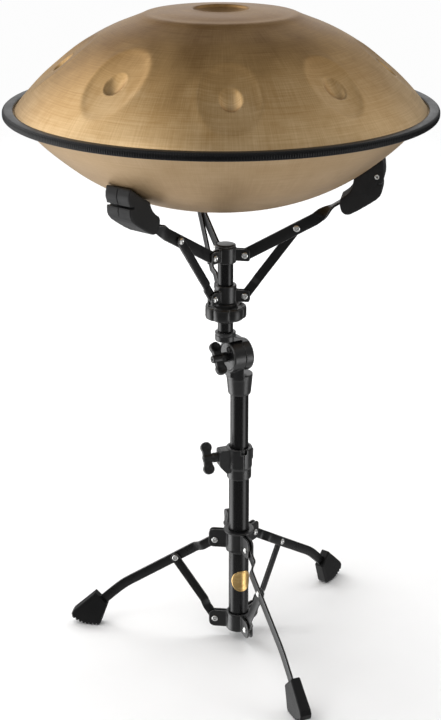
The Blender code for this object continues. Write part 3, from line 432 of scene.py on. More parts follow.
# ------------------------------------------------------- the instrument
def hermite(points):
    xs = np.array([p[0] for p in points], float)
    ys = np.array([p[1] for p in points], float)
    h = np.diff(xs)
    d = np.diff(ys) / h
    m = np.zeros(len(xs))
    m[1:-1] = (d[:-1] * h[1:] + d[1:] * h[:-1]) / (h[1:] + h[:-1])
    m[0], m[-1] = 0.0, d[-1]

    def f(x):
        x = np.asarray(x, float)
        i = np.clip(np.searchsorted(xs, x) - 1, 0, len(h) - 1)
        t = (x - xs[i]) / h[i]
        return ((2 * t ** 3 - 3 * t ** 2 + 1) * ys[i] + (t ** 3 - 2 * t ** 2 + t) * h[i] * m[i]
                + (-2 * t ** 3 + 3 * t ** 2) * ys[i + 1] + (t ** 3 - t ** 2) * h[i] * m[i + 1])
    return f


TOP_PROFILE = hermite([(0.0, 126.5), (50.0, 125.6), (80.0, 122.8), (96.0, 119.6), (104.0, 117.0), (120.0, 111.0),
                       (140.0, 103.0), (160.0, 93.0), (185.0, 77.5), (210.0, 58.0), (235.0, 36.0), (252.0, 18.0),
                       (260.0, 8.5), (264.6, 1.9)])
# tone fields: azimuth, radius of the centre, half sizes along and across the radius
FIELDS = ((-87.0, 212.0, 42.0, 38.0), (-50.0, 208.0, 39.0, 34.0), (-3.0, 210.0, 41.0, 37.0), (44.0, 208.0, 38.0, 34.0),
          (91.0, 208.0, 41.0, 37.0), (138.0, 207.0, 40.0, 36.0), (-175.0, 200.0, 44.0, 39.0), (-128.0, 202.0, 46.0, 40.0))
DIMPLE_R, DING_R = 13.8, 37.0


def sstep(x):
    x = np.clip(x, 0, 1)
    return x * x * (3 - 2 * x)


def top_height(r, th):
    """Height in mm above the rim plane; r in mm, th in radians."""
    z = TOP_PROFILE(r)
    for az, fr, fa, fb in FIELDS:
        t0 = math.radians(az)
        dth = (th - t0 + math.pi) % (2 * math.pi) - math.pi
        near = np.abs(dth) < 1.0
        u = r * np.cos(dth) - fr
        v = r * np.sin(dth)
        e = np.where(near, np.sqrt((u / fa) ** 2 + (v / fb) ** 2), 9.0)
        # the dome is pressed flat inside the field, with a soft rolled border
        flat = -4.6 * np.clip(1 - e ** 2, 0, 1)
        z = z + flat * sstep((1.18 - e) / 0.36) + 0.50 * np.exp(-((e - 1.02) / 0.17) ** 2)
        e2 = np.where(near, np.sqrt(u ** 2 + v ** 2) / DIMPLE_R, 9.0)
        z = z - 7.2 * np.clip(1 - e2 ** 2, 0, 1) * sstep((1.0 - e2) / 0.09)
        z = z + 0.20 * np.exp(-((e2 - 1.06) / 0.10) ** 2)
    # shoulder round the central note, then its dimple
    z = z + 1.1 * np.exp(-((r - 97.0) / 7.0) ** 2)
    e = r / DING_R
    z = z - 11.0 * np.clip(1 - e ** 2, 0, 1) ** 0.8 * sstep((1.0 - e) / 0.10)
    z = z + 0.4 * np.exp(-((e - 1.04) / 0.05) ** 2)
    return z


def rings_to_mesh(name, rings, centre, cap_first, cap_last, loop=False):
    segs = len(rings[0])
    co = np.concatenate(rings) / 1000.0 + np.array(centre)
    verts = [tuple(v) for v in co]
    faces = []
    R = len(rings)
    pairs = [(k, k + 1) for k in range(R - 1)] + ([(R - 1, 0)] if loop else [])
    idx = np.arange(segs)
    nxt = (idx + 1) % segs
    for a, b in pairs:
        q = np.stack([a * segs + idx, b * segs + idx, b * segs + nxt, a * segs + nxt], 1)
        faces.extend(map(tuple, q.tolist()))
    if cap_first is not None:
        verts.append(tuple(np.array(cap_first) / 1000.0 + np.array(centre)))
        c = len(verts) - 1
        faces.extend((c, int(i), int(j)) for i, j in zip(idx, nxt))
    if cap_last is not None:
        verts.append(tuple(np.array(cap_last) / 1000.0 + np.array(centre)))
        c = len(verts) - 1
        o = (R - 1) * segs
        faces.extend((c, int(o + j), int(o + i)) for i, j in zip(idx, nxt))
    me = bpy.data.meshes.new(name)
    me.from_pydata(verts, [], faces)
    me.update()
    bm = bmesh.new()
    bm.from_mesh(me)
    bmesh.ops.recalc_face_normals(bm, faces=bm.faces)
    bm.to_mesh(me)
    bm.free()
    return me


T_SEG = 640
r_top = np.concatenate([np.linspace(1.5, 32, 18)[:-1], np.linspace(32, 39, 12)[:-1], np.linspace(39, 88, 14)[:-1],
                        np.linspace(88, 112, 16)[:-1], np.linspace(112, 160, 16)[:-1],
                        np.linspace(160, 252, 78)[:-1], np.linspace(252, 264.6, 10)])
th = np.arange(T_SEG) * 2 * np.pi / T_SEG
rings = []
for r in r_top:
    z = top_height(np.full(T_SEG, r), th)
    rings.append(np.stack([r * np.cos(th), r * np.sin(th), z], 1))
for r, z in [(265.2, 1.6), (274.3, 1.5), (274.5, 1.2), (274.5, 0.3), (274.2, 0.15), (261.5, 0.15)]:
    rings.append(np.stack([r * np.cos(th), r * np.sin(th), np.full(T_SEG, z)], 1))
for r in np.concatenate([np.linspace(258, 170, 40), np.linspace(160, 40, 14), np.linspace(36, 1.5, 12)]):
    z = top_height(np.full(T_SEG, r), th) - 1.2 - np.clip((r - 150) / 120, 0, 1) * 0.9
    rings.append(np.stack([r * np.cos(th), r * np.sin(th), z], 1))
me = rings_to_mesh("top_shell_fine", rings, PAN_C, (0, 0, float(top_height(np.array([0.0]), np.array([0.0]))[0])),
                   (0, 0, float(top_height(np.array([0.0]), np.array([0.0]))[0]) - 1.2))
finish_object("top_shell_fine", me, M_TOP, "handpan", ("top_shell",), 50.0)


lo_depth = hermite(list(LOW_STATIONS))


B_SEG = 288
th = np.arange(B_SEG) * 2 * np.pi / B_SEG
ring_r = np.concatenate([np.linspace(PORT_R * 1000, 90, 14), np.linspace(96, 240, 40), np.linspace(243, 263.8, 14)])
prof = []
zb = -float(lo_depth(PORT_R * 1000))
neck_top = zb + PORT_NECK * 1000
prof += [(47.0, neck_top), (46.95, neck_top - 6), (47.0, zb + 6.0), (47.6, zb + 3.2), (49.0, zb + 1.2), (50.6, zb + 0.25)]
prof += [(float(r), -float(lo_depth(r))) for r in ring_r]
prof += [(265.2, -1.6), (274.3, -1.5), (274.5, -1.2), (274.5, -0.3), (274.2, -0.15), (261.5, -0.15)]
for r in np.linspace(258, 56, 30):
    d = (float(lo_depth(r + 0.5)) - float(lo_depth(r - 0.5)))
    prof.append((float(r), -float(lo_depth(r)) + 1.2 * math.sqrt(1 + d * d)))
prof += [(51.5, zb + 2.0), (49.2, zb + 3.6), (48.3, zb + 6.5), (48.2, neck_top)]
rings = [np.stack([r * np.cos(th), r * np.sin(th), np.full(B_SEG, z)], 1) for r, z in prof]
me = rings_to_mesh("bottom_shell_fine", rings, PAN_C, None, None, loop=True)
finish_object("bottom_shell_fine", me, M_LOW, "handpan", ("bottom_shell",), 50.0)

# ribbed rubber trim: flat top face, ribs round the outer side
RIBS = 560
R_SEG = RIBS * 4
hh = TRIM_H * 500.0 * 2
hh = TRIM_H * 1000 / 2
trim_prof = [(266.0, hh - 1.6, 0), (266.4, hh - 0.6, 0), (267.6, hh, 0), (272.0, hh + 0.0, 0), (276.6, hh - 0.1, 0),
             (278.2, hh - 0.5, 0.2), (279.3, hh - 1.5, 0.7), (279.85, hh - 2.8, 1), (280.0, 0.6, 1), (280.0, -1.2, 1),
             (279.8, -hh + 2.2, 1), (279.0, -hh + 0.9, 0.6), (277.6, -hh + 0.2, 0.1), (272.0, -hh, 0),
             (267.6, -hh, 0), (266.2, -hh + 0.8, 0), (266.0, -1.9, 0), (275.0, -1.9, 0), (275.0, 1.9, 0), (266.0, 1.9, 0)]
th = np.arange(R_SEG) * 2 * np.pi / R_SEG
rib = (np.cos(th * RIBS) * 0.5 - 0.5)
rings = [np.stack([(r + 0.55 * w * rib) * np.cos(th), (r + 0.55 * w * rib) * np.sin(th), np.full(R_SEG, z)], 1)
         for r, z, w in trim_prof]
me = rings_to_mesh("rim_trim_ribbed", rings, PAN_C, None, None, loop=True)
finish_object("rim_trim_ribbed", me, M_TRIM, "handpan", ("rim_trim",), 60.0)

# ----------------------------------------------------- tubes and turned
def tube(name, R, Ri, z0, z1, c, body, node):
    turned(name, [(R, z0), (R, z1), (Ri, z1), (Ri, z0)], c, M_TUBE, body, (node,), rad=0.0005)


tube("lower_tube_fine", LT_R, 0.0130, 0.0100, 0.2850, (0, 0, 0), "stand_base", "lower_tube")
tube("upper_tube_fine", UT_R, 0.0112, 0.1750, 0.4035, (0, 0, 0), "upper_column", "upper_tube")
tube("basket_post_fine", POST_R, 0.0090, 0.4640, 0.5934, POST_C, "basket_head", "basket_post")
turned("tube_bushing_fine", [(LT_R, 0.2853), (LT_R, 0.2985), (0.0130, 0.2985), (0.0130, 0.2853)], (0, 0, 0), M_NYLON,
       "column_swivel", ("tube_bushing",), rad=0.0004)
turned("post_cap_fine", [(0, 0.5842), (0.0086, 0.5842), (0.0086, 0.5937), (0.0136, 0.5937), (0.0140, 0.5945),
                         (0.0134, 0.5957), (0.0112, 0.5967), (0.0060, 0.5970), (0, 0.5970)],
       POST_C, M_NYLON, "basket_head", ("post_cap",), rad=0.0004, closed=False)


def lobes(r, a, h):
    if r < 0.0165:
        return r
    c = abs(math.cos(3.5 * a)) ** 0.55
    return r * (0.905 + 0.095 * c)


turned("basket_knob_fine", [(0.0108, 0.4877), (0.0125, 0.4877), (0.0137, 0.4892), (0.0150, 0.4930), (0.0255, 0.4934),
                            (0.0278, 0.4950), (0.0284, 0.4975), (0.0284, 0.5070), (0.0278, 0.5098), (0.0262, 0.5112),
                            (0.0246, 0.5106), (0.0230, 0.5085), (0.0172, 0.5068), (0.0155, 0.5090), (0.0150, 0.5140),
                            (0.0140, 0.5150), (0.0108, 0.5150)], POST_C, M_NYLON, "basket_knob", ("basket_knob",),
       segs=224, rad=0.0006, radius_fn=lobes, sharp=50.0)


# -------------------------------------------------------------- rivets
def rivet_profile(t0, t1, head0=True, head1=True):
    R, H = PIN_HEAD_R, PIN_HEAD_H
    dome_pts = [(0.0, 0.78), (0.22, 0.80), (0.34, 0.92), (0.46, 1.0), (0.66, 0.93), (0.84, 0.72), (0.95, 0.45),
                (1.0, 0.2), (1.0, 0.0)]
    a = [(R * x, t0 - H * y) for x, y in dome_pts] + [(PIN_R, t0)] if head0 else [(0, t0), (PIN_R, t0)]
    b = [(PIN_R, t1)] + [(R * x, t1 + H * y) for x, y in reversed(dome_pts)] if head1 else [(PIN_R, t1), (0, t1)]
    return a + b


def rivet(name, c, t, t0, t1, h0, h1, body, node):
    turned(name, rivet_profile(t0, t1, h0, h1), c, M_NICKEL, body, (node,) if node else (), axis=t, segs=28,
           sharp=60.0)


EAR = EAR_IN + EAR_T + GAP
BOFF = ARM_T / 2 + 0.0004 + BBR_T / 2
for i, az in enumerate(ARM_AZ, 1):
    r, t = radial(az)
    rivet("hub_rivet_%d_fine" % i, POST_C + r * B_PIV_R + UP * HUB_Z, t, -EAR, EAR, True, True, "basket_head", "hub_rivet_%d" % i)
    rivet("slider_rivet_%d_fine" % i, POST_C + r * B_PIV_R + UP * SLD_Z, t, -EAR, EAR, True, True, "basket_slider",
          "slider_rivet_%d" % i)
    rivet("arm_rivet_%d_fine" % i, POST_C + r * B_JOINT[0] + UP * B_JOINT[1], t, -ARM_T / 2 - GAP, BOFF + BBR_T / 2 + GAP,
          True, True, "basket_arm_%d" % i, "arm_rivet_%d" % i)
for i, az in enumerate(LEG_AZ, 1):
    r, t = radial(az)
    rivet("collar_rivet_%d_fine" % i, r * L_PIV_R + UP * COL_Z, t, -EAR, EAR, True, True, "leg_collar", "collar_rivet_%d" % i)
    rivet("base_rivet_%d_fine" % i, r * L_PIV_R + UP * BASE_Z, t, -EAR, EAR, True, True, "stand_base", "base_rivet_%d" % i)
    c = r * L_JOINT[0] + UP * L_JOINT[1]
    rivet("leg_rivet_%d_fine" % i, c, t, LEG_OFF - LEG_T / 2 - GAP, LEG_OFF + LEG_T / 2 + 0.0001, True, False,
          "leg_%d" % i, "leg_rivet_%d" % i)
    rivet("leg_brace_rivet_%d_fine" % i, c, t, LBR_OFF - LBR_T / 2 + 0.0001, LBR_OFF + LBR_T / 2 + 0.0001, False, True,
          "leg_brace_%d" % i, None)


# --------------------------------------------------------------- straps
def strap_stations(path, width, steps=9):
    hw = width / 2
    dirs = []
    for i in range(len(path)):
        a = path[max(0, i - 1)]
        b = path[min(len(path) - 1, i + 1)]
        dirs.append(Vector((b[0] - a[0], b[1] - a[1])).normalized())
    out = []
    d = Vector((path[1][0] - path[0][0], path[1][1] - path[0][1])).normalized()
    dirs[0] = d
    for k in range(steps):
        a = math.radians(8 + 82 * k / steps)
        out.append((path[0][0] - d.x * hw * math.cos(a), path[0][1] - d.y * hw * math.cos(a), path[0][2], hw * math.sin(a), d.x, d.y))
    for p, dd in zip(path, dirs):
        out.append((p[0], p[1], p[2], hw, dd.x, dd.y))
    d = Vector((path[-1][0] - path[-2][0], path[-1][1] - path[-2][1])).normalized()
    for k in range(steps):
        a = math.radians(90 - 82 * (k + 1) / steps)
        out.append((path[-1][0] + d.x * hw * math.cos(a), path[-1][1] + d.y * hw * math.cos(a), path[-1][2], hw * math.sin(a), d.x, d.y))
    return out


def smooth_path(path, n=6):
    """Replace each sideways bend by an eased run of points."""
    out = []
    for a, b in zip(path[:-1], path[1:]):
        if abs(a[2] - b[2]) < 1e-6:
            out.append(a)
            continue
        for k in range(n):
            f = k / n
            e = f * f * (3 - 2 * f)
            out.append((a[0] + (b[0] - a[0]) * f, a[1] + (b[1] - a[1]) * f, a[2] + (b[2] - a[2]) * e))
    out.append(path[-1])
    return out


def add_strap(bm, stations, thick, centre, az):
    r, t = radial(az)
    prev = first = None
    for (pr, pz, pt, hw, dr, dz) in stations:
        c = Vector((centre[0], centre[1], 0)) + r * pr + UP * pz + t * pt
        w = r * (-dz) + UP * dr
        sec = [bm.verts.new(c + w * hw * a + t * thick / 2 * b) for a, b in ((-1, -1), (1, -1), (1, 1), (-1, 1))]
        if prev:
            for i in range(4):
                j = (i + 1) % 4
                bm.faces.new((prev[i], prev[j], sec[j], sec[i]))
        else:
            first = sec
        prev = sec
    bm.faces.new(first)
    bm.faces.new(list(reversed(prev)))


def strap(name, path, width, thick, centre, az, body, node):
    bm = bmesh.new()
    add_strap(bm, strap_stations(smooth_path(path), width), thick, centre, az)
    me = bevelled(to_mesh(bm, name), 0.00045, 2, 40.0)
    finish_object(name, me, M_COAT, body, (node,), 40.0)


HUB_ANG = math.atan2(B_JOINT[1] - HUB_Z, B_JOINT[0] - B_PIV_R)
TW0, TW1, ARM_END = 0.1180, (0.1440, 0.6560), (0.1930, 0.6875)


def arm_stations(az):
    r, t = radial(az)
    hw = ARM_W / 2
    d = Vector((math.cos(HUB_ANG), math.sin(HUB_ANG)))
    st = []
    for k in range(9):
        a = math.radians(8 + 82 * k / 9)
        st.append((B_PIV_R - d.x * hw * math.cos(a), HUB_Z - d.y * hw * math.cos(a), hw * math.sin(a), 0.0, d))
    st.append((B_PIV_R, HUB_Z, hw, 0.0, d))
    zt = HUB_Z + (TW0 - B_PIV_R) * math.tan(HUB_ANG)
    st.append((TW0, zt, hw, 0.0, d))
    dm = Vector((TW1[0] - TW0, TW1[1] - zt)).normalized()
    n = 18
    for k in range(1, n + 1):
        f = k / n
        e = f * f * (3 - 2 * f)
        st.append((TW0 + (TW1[0] - TW0) * f, zt + (TW1[1] - zt) * f, hw, 90 * e, d.lerp(dm, min(1.0, f * 3)).normalized()))
    d2 = Vector((ARM_END[0] - TW1[0], ARM_END[1] - TW1[1])).normalized()
    st.append((TW1[0] + 0.004 * d2.x, TW1[1] + 0.004 * d2.y, hw, 90, d2))
    st.append((ARM_END[0], ARM_END[1], hw, 90, d2))
    out = []
    for pr, pz, h, tw, dd in st:
        c = POST_C + r * pr + UP * pz
        w = r * (-dd.y) + UP * dd.x
        a = math.radians(tw)
        out.append((c, (w * math.cos(a) + t * math.sin(a)) * h, (t * math.cos(a) - w * math.sin(a)) * ARM_T / 2))
    return out


for i, az in enumerate(ARM_AZ, 1):
    bm = bmesh.new()
    prev = first = None
    for c, w, h in arm_stations(az):
        sec = [bm.verts.new(c + w * a + h * b) for a, b in ((-1, -1), (1, -1), (1, 1), (-1, 1))]
        if prev:
            for k in range(4):
                bm.faces.new((prev[k], prev[(k + 1) % 4], sec[(k + 1) % 4], sec[k]))
        else:
            first = sec
        prev = sec
    bm.faces.new(first)
    bm.faces.new(list(reversed(prev)))
    me = bevelled(to_mesh(bm, "arm"), 0.0005, 2, 40.0)
    finish_object("basket_arm_%d_fine" % i, me, M_COAT, "basket_arm_%d" % i, ("basket_arm_%d" % i,), 40.0)
    v = Vector((B_JOINT[0] - B_PIV_R, B_JOINT[1] - SLD_Z))
    n = v.normalized()
    at = lambda s, tt: (B_PIV_R + n.x * s, SLD_Z + n.y * s, tt)
    strap("basket_brace_%d_fine" % i, [at(0, 0), at(0.021, 0), at(0.030, BOFF), at(v.length, BOFF)], BBR_W, BBR_T,
          POST_C, az, "basket_brace_%d" % i, "basket_brace_%d" % i)

for i, az in enumerate(LEG_AZ, 1):
    d1 = Vector(L_JOINT) - Vector((L_PIV_R, COL_Z))
    n1 = d1.normalized()
    knee, ankle = Vector(KNEE), Vector(ANKLE)
    e1, e2 = (knee - Vector(L_JOINT)).normalized(), (ankle - knee).normalized()
    p0, p1 = knee - e1 * KNEE_RUN, knee + e2 * KNEE_RUN
    run = []
    for k in range(9):
        f = k / 8
        c = p0 * (1 - f) ** 2 + knee * 2 * f * (1 - f) + p1 * f ** 2
        run.append((c.x, c.y, LEG_OFF))
    c = ankle + e2 * 0.0160
    run.append((c.x, c.y, LEG_OFF))
    on = lambda s, tt: (L_PIV_R + n1.x * s, COL_Z + n1.y * s, tt)
    strap("leg_%d_fine" % i, [on(0, 0), on(0.0215, 0), on(0.0375, LEG_OFF), on(d1.length, LEG_OFF)] + run,
          LEG_W, LEG_T, (0, 0), az, "leg_%d" % i, "leg_%d" % i)
    v = Vector((L_JOINT[0] - L_PIV_R, L_JOINT[1] - BASE_Z))
    n = v.normalized()
    at = lambda s, tt: (L_PIV_R + n.x * s, BASE_Z + n.y * s, tt)
    strap("leg_brace_%d_fine" % i, [at(0, 0), at(0.0200, 0), at(0.0330, LBR_OFF), at(v.length, LBR_OFF)], LBR_W, LBR_T,
          (0, 0), az, "leg_brace_%d" % i, "leg_brace_%d" % i)


# --------------------------------------------------------------- castings
def ears(bm, centre, az, r0, r1, z0, z1, ch):
    r, t = radial(az)
    o = Vector((centre[0], centre[1], 0))
    out = [(r0, z0), (r1 - ch, z0)] + arc(r1 - ch, z0 + ch, ch, -90, 0, 4)[1:] + [(r1, z1 - ch)] \
        + arc(r1 - ch, z1 - ch, ch, 0, 90, 4)[1:] + [(r0, z1)]
    for s in (-1, 1):
        a, b = sorted((s * EAR_IN, s * (EAR_IN + EAR_T)))
        add_prism(bm, out, o, r, UP, t, a, b)


def collar(name, profile, centre, azs, e, body, node, extra=None, voxel=0.00055):
    bm = bmesh.new()
    add_lathe(bm, profile, (centre[0], centre[1], 0), UP, 96)
    for az in azs:
        ears(bm, centre, az, *e)
    if extra:
        extra(bm)
    me = cast_mesh(to_mesh(bm, name), voxel, 3, 0.4)
    return finish_object(name, me, M_CAST, body, (node,), 0)


collar("basket_hub_fine", [(0.0108, 0.5712), (0.0137, 0.5712), (0.0142, 0.5722), (0.0142, 0.5925), (0.0136, 0.5932),
                           (0.0108, 0.5932)], POST_C, ARM_AZ, (0.0122, 0.0332, 0.5745, 0.5907, 0.0022), "basket_head",
       "basket_hub")
collar("basket_slider_fine", [(0.0108, 0.5154), (0.0146, 0.5154), (0.0150, 0.5162), (0.0150, 0.5395), (0.0142, 0.5403),
                              (0.0108, 0.5403)], POST_C, ARM_AZ, (0.0125, 0.0332, 0.5175, 0.5337, 0.0022),
       "basket_slider", "basket_slider")
LB = LT_R + GAP
k_r, k_t = radial(112.6)


def lock_boss(bm):
    add_prism(bm, [(0.0158, 0.1520), (0.0238, 0.1530), (0.0238, 0.1670), (0.0158, 0.1680)], Vector((0, 0, 0)), k_r, UP,
              k_t, -0.0070, 0.0070)


collar("leg_collar_fine", [(LB, 0.1390), (0.0182, 0.1390), (0.0187, 0.1400), (0.0178, 0.1420), (0.0178, 0.1690),
                           (0.0216, 0.1694), (0.0221, 0.1706), (0.0214, 0.1720), (LB, 0.1720)], (0, 0), LEG_AZ,
       (0.0158, 0.0430, 0.1418, 0.1692, 0.0065), "leg_collar", "leg_collar", lock_boss)
collar("base_collar_fine", [(LB, 0.0110), (0.0170, 0.0110), (0.0178, 0.0122), (0.0178, 0.0370), (0.0172, 0.0386),
                            (LB, 0.0386)], (0, 0), LEG_AZ, (0.0158, 0.0430, 0.0120, 0.0374, 0.0080), "stand_base",
       "base_collar")

# height clamp
c_r, c_t = radial(CLAMP_AZ)
bm = bmesh.new()
add_lathe(bm, [(LB, 0.2530), (0.0166, 0.2530), (0.0172, 0.2540), (0.0172, 0.2680), (0.0183, 0.2712), (0.0185, 0.2978),
               (0.0180, 0.2998), (LB, 0.3000)], (0, 0, 0), UP, 96)
add_prism(bm, fillet([(0.0155, 0.2640), (0.0200, 0.2625), (0.0300, 0.2740), (0.0310, 0.2775), (0.0310, 0.2960),
                      (0.0290, 0.2985), (0.0155, 0.2990)], 0.002), Vector((0, 0, 0)), c_r, UP, c_t, -0.0088, 0.0088)
s_r, s_t = radial(292.6)
# raised pad behind the notch, as on the far side of the collar
add_prism(bm, fillet([(0.0160, 0.2800), (0.0190, 0.2815), (0.0192, 0.2960), (0.0160, 0.2985)], 0.0015),
          Vector((0, 0, 0)), radial(17)[0], UP, radial(17)[1], -0.0060, 0.0060)
me = cast_mesh(to_mesh(bm, "clamp"), 0.00055, 3, 0.5)
for prof_, w0, w1, rr_ in (([(0.0100, 0.2925), (0.0260, 0.2925), (0.0260, 0.3050), (0.0100, 0.3050)], -0.0048, 0.0048, s_r),
                           ([(0.0100, 0.2640), (0.0260, 0.2640), (0.0260, 0.2960), (0.0100, 0.2960)], -0.0007, 0.0007, s_r)):
    tb = bmesh.new()
    add_prism(tb, prof_, Vector((0, 0, 0)), rr_, UP, s_t, w0, w1)
    me = cut_with(me, to_mesh(tb, "slot"))
for k in (-1, 0, 1):
    tb = bmesh.new()
    add_prism(tb, [(0.0195, 0.2972), (0.0340, 0.2960), (0.0340, 0.3050), (0.0195, 0.3050)], Vector((0, 0, 0)), c_r, UP,
              c_t, k * 0.0048 - 0.0007, k * 0.0048 + 0.0007)
    me = cut_with(me, to_mesh(tb, "groove"))
finish_object("height_clamp_fine", me, M_CAST, "stand_base", ("height_clamp",), 40.0)


# wing screws
def wing_screw(name, origin, axis, up, tip, seat, hub_len, wing_at, body, node, shank, wing):
    axis = Vector(axis).normalized()
    up = Vector(up).normalized()
    side = axis.cross(up).normalized()
    hub = 0.0058
    bm = bmesh.new()
    prof = [(0, tip), (shank, tip), (shank, seat), (hub + 0.0012, seat), (hub + 0.0012, seat - hub_len * 0.3),
            (hub, seat - hub_len * 0.42), (hub * 0.92, seat - hub_len * 0.94), (hub * 0.8, seat - hub_len), (0, seat - hub_len)]
    add_lathe(bm, prof, origin, axis, 48)
    w = 0.0078
    mid_o = Vector(origin) + axis * wing_at
    for sg in (1, -1):
        c0 = sg * (wing - w)
        round_ = [(w * math.sin(2 * math.pi * k / 36), c0 + w * math.cos(2 * math.pi * k / 36)) for k in range(36)]
        add_prism(bm, round_, mid_o, axis, up, side, -0.0034, 0.0034)
        # flat web joining each wing to the hub; the inset outline ring_in is computed but not used
        ring_in = [(0.78 * (x - 0.0), c0 + 0.78 * (y - c0)) for x, y in round_]
        add_prism(bm, [(-0.0056, 0.0), (0.0056, 0.0), (0.0062, c0), (-0.0062, c0)], mid_o, axis, up, side, -0.0034, 0.0034)
    me = cast_mesh(to_mesh(bm, name), 0.00045, 7, 0.4)
    # shallow hollows in both faces of each wing
    for sg in (1, -1):
        for face in (1, -1):
            tb = bmesh.new()
            c0 = sg * (wing - w)
            add_lathe(tb, [(0, 0.0027), (w * 0.50, 0.0027), (w * 0.66, 0.0036), (w * 0.66, 0.0060), (0, 0.0060)],
                      mid_o + up * c0, side * face, 32)
            me = cut_with(me, to_mesh(tb, "hollow"))
    tb = bmesh.new()
    add_lathe(tb, [(0, seat - hub_len - 0.002), (0.0022, seat - hub_len - 0.002), (0.0022, seat - hub_len + 0.0020),
                   (0, seat - hub_len + 0.0020)], origin, axis, 32)
    me = cut_with(me, to_mesh(tb, "hub_end"))
    finish_object(name, me, M_NYLON, body, (node,), 50.0)


cw = math.radians(28)
wing_screw("clamp_wing_fine", (0, 0, CLAMP_Z), -c_r, UP * math.cos(cw) + Vector((-0.292, 0.956, 0)) * math.sin(cw),
           -0.0150, -0.0314, 0.0215, -0.0465, "clamp_wing", "clamp_wing", 0.0030, 0.0228)
wing_screw("leg_lock_fine", (0, 0, LOCK_Z), -k_r, UP, -0.0150, -0.0244, 0.0220, -0.0400, "leg_lock_screw",
           "leg_lock_screw", 0.0030, 0.0240)
n_ax, t_ax = radial(TILT_AZ)
tw = math.radians(33)
wing_screw("tilter_wing_fine", (0, 0, TILT_Z), n_ax, UP * math.cos(tw) + t_ax * math.sin(tw), 0.0080, -0.0204, 0.0232,
           -0.0340, "tilter_wing", "tilter_wing", 0.0040, 0.0232)

# tilter
S_SPLIT = -0.0022
t_o = Vector((0, 0, TILT_Z))


def disc(s0, s1, ch0, ch1):
    return [(0, s0)] + [(DISC_R - ch0, s0), (DISC_R - ch0 * 0.3, s0 + ch0 * 0.3), (DISC_R, s0 + ch0), (DISC_R, s1 - ch1),
                        (DISC_R - ch1 * 0.3, s1 - ch1 * 0.3), (DISC_R - ch1, s1), (0, s1)]


bm = bmesh.new()
rim = [(0, -0.0186), (0.0188, -0.0186), (0.0196, -0.0200), (0.0212, -0.0200), (DISC_R, -0.0188), (DISC_R, S_SPLIT - 0.0006),
       (DISC_R - 0.0005, S_SPLIT - 0.0002), (0, S_SPLIT - 0.0002)]
add_lathe(bm, rim, t_o, n_ax, 96)
add_lathe(bm, [(0, 0.3796), (0.0140, 0.3796), (0.0152, 0.3804), (0.0160, 0.3830), (0.0183, 0.4078), (0.0182, 0.4094),
               (0.0176, 0.4102), (0, 0.4102)], (0, 0, 0), UP, 96)
add_prism(bm, arc(0, 0, 0.0183, 100, 260, 20), Vector((0, 0, 0)), n_ax, t_ax, UP, 0.4040, 0.4310)
# flat facet on the outer side, below the disc
add_prism(bm, [(-0.0190, -0.0070), (-0.0120, -0.0130), (-0.0120, 0.0130), (-0.0190, 0.0070)], Vector((0, 0, 0)), n_ax,
          t_ax, UP, 0.4080, 0.4300)
# locating lug on the outer face
add_lathe(bm, [(0, -0.0232), (0.0036, -0.0232), (0.0046, -0.0220), (0.0046, -0.0180), (0, -0.0180)],
          t_o + UP * 0.0125 - t_ax * 0.0070, n_ax, 40)
me = cast_mesh(to_mesh(bm, "tilter_lower"), 0.00055, 3, 0.45)
tb = bmesh.new()
add_lathe(tb, [(0, 0.3700), (0.0130, 0.3700), (0.0130, 0.4038), (0, 0.4038)], (0, 0, 0), UP, 64)
me = cut_with(me, to_mesh(tb, "socket"))
finish_object("tilter_lower_fine", me, M_CAST, "upper_column", ("tilter_lower",), 45.0)
bm = bmesh.new()
add_lathe(bm, disc(S_SPLIT + 0.0003, 0.0110, 0.0005, 0.0026), t_o, n_ax, 96)
add_prism(bm, fillet([(S_SPLIT + 0.0006, 0.4450), (0.0090, 0.4450), (0.0096, 0.4530), (0.0076, 0.4588), (0.0030, 0.4620),
                      (-0.0070, 0.4654), (-0.0130, 0.4674), (-0.0205, 0.4680), (-0.0205, 0.4609),
                      (S_SPLIT + 0.0006, 0.4609)], 0.0015), Vector((0, 0, 0)), n_ax,
          UP, t_ax, -0.0095, 0.0125)
add_lathe(bm, [(0, 0.4607), (0.0136, 0.4607), (0.0141, 0.4614), (0.0142, 0.4686), (0.0135, 0.4693), (0.0135, 0.4705),
               (0.0143, 0.4712), (0.0143, 0.4728), (0.0134, 0.4737), (0, 0.4737)], POST_C, UP, 96)
me = cast_mesh(to_mesh(bm, "tilter_upper"), 0.00055, 3, 0.45)
tb = bmesh.new()
add_lathe(tb, [(0, 0.4637), (0.0108, 0.4637), (0.0108, 0.5000), (0, 0.5000)], POST_C, UP, 64)
me = cut_with(me, to_mesh(tb, "bore"))
finish_object("tilter_upper_fine", me, M_CAST, "basket_head", ("tilter_upper",), 45.0)


# --------------------------------------------------------------- rubber
def z_shell(rho, off):
    return PAN_C.z - float(lo_depth((rho - off) * 1000)) / 1000


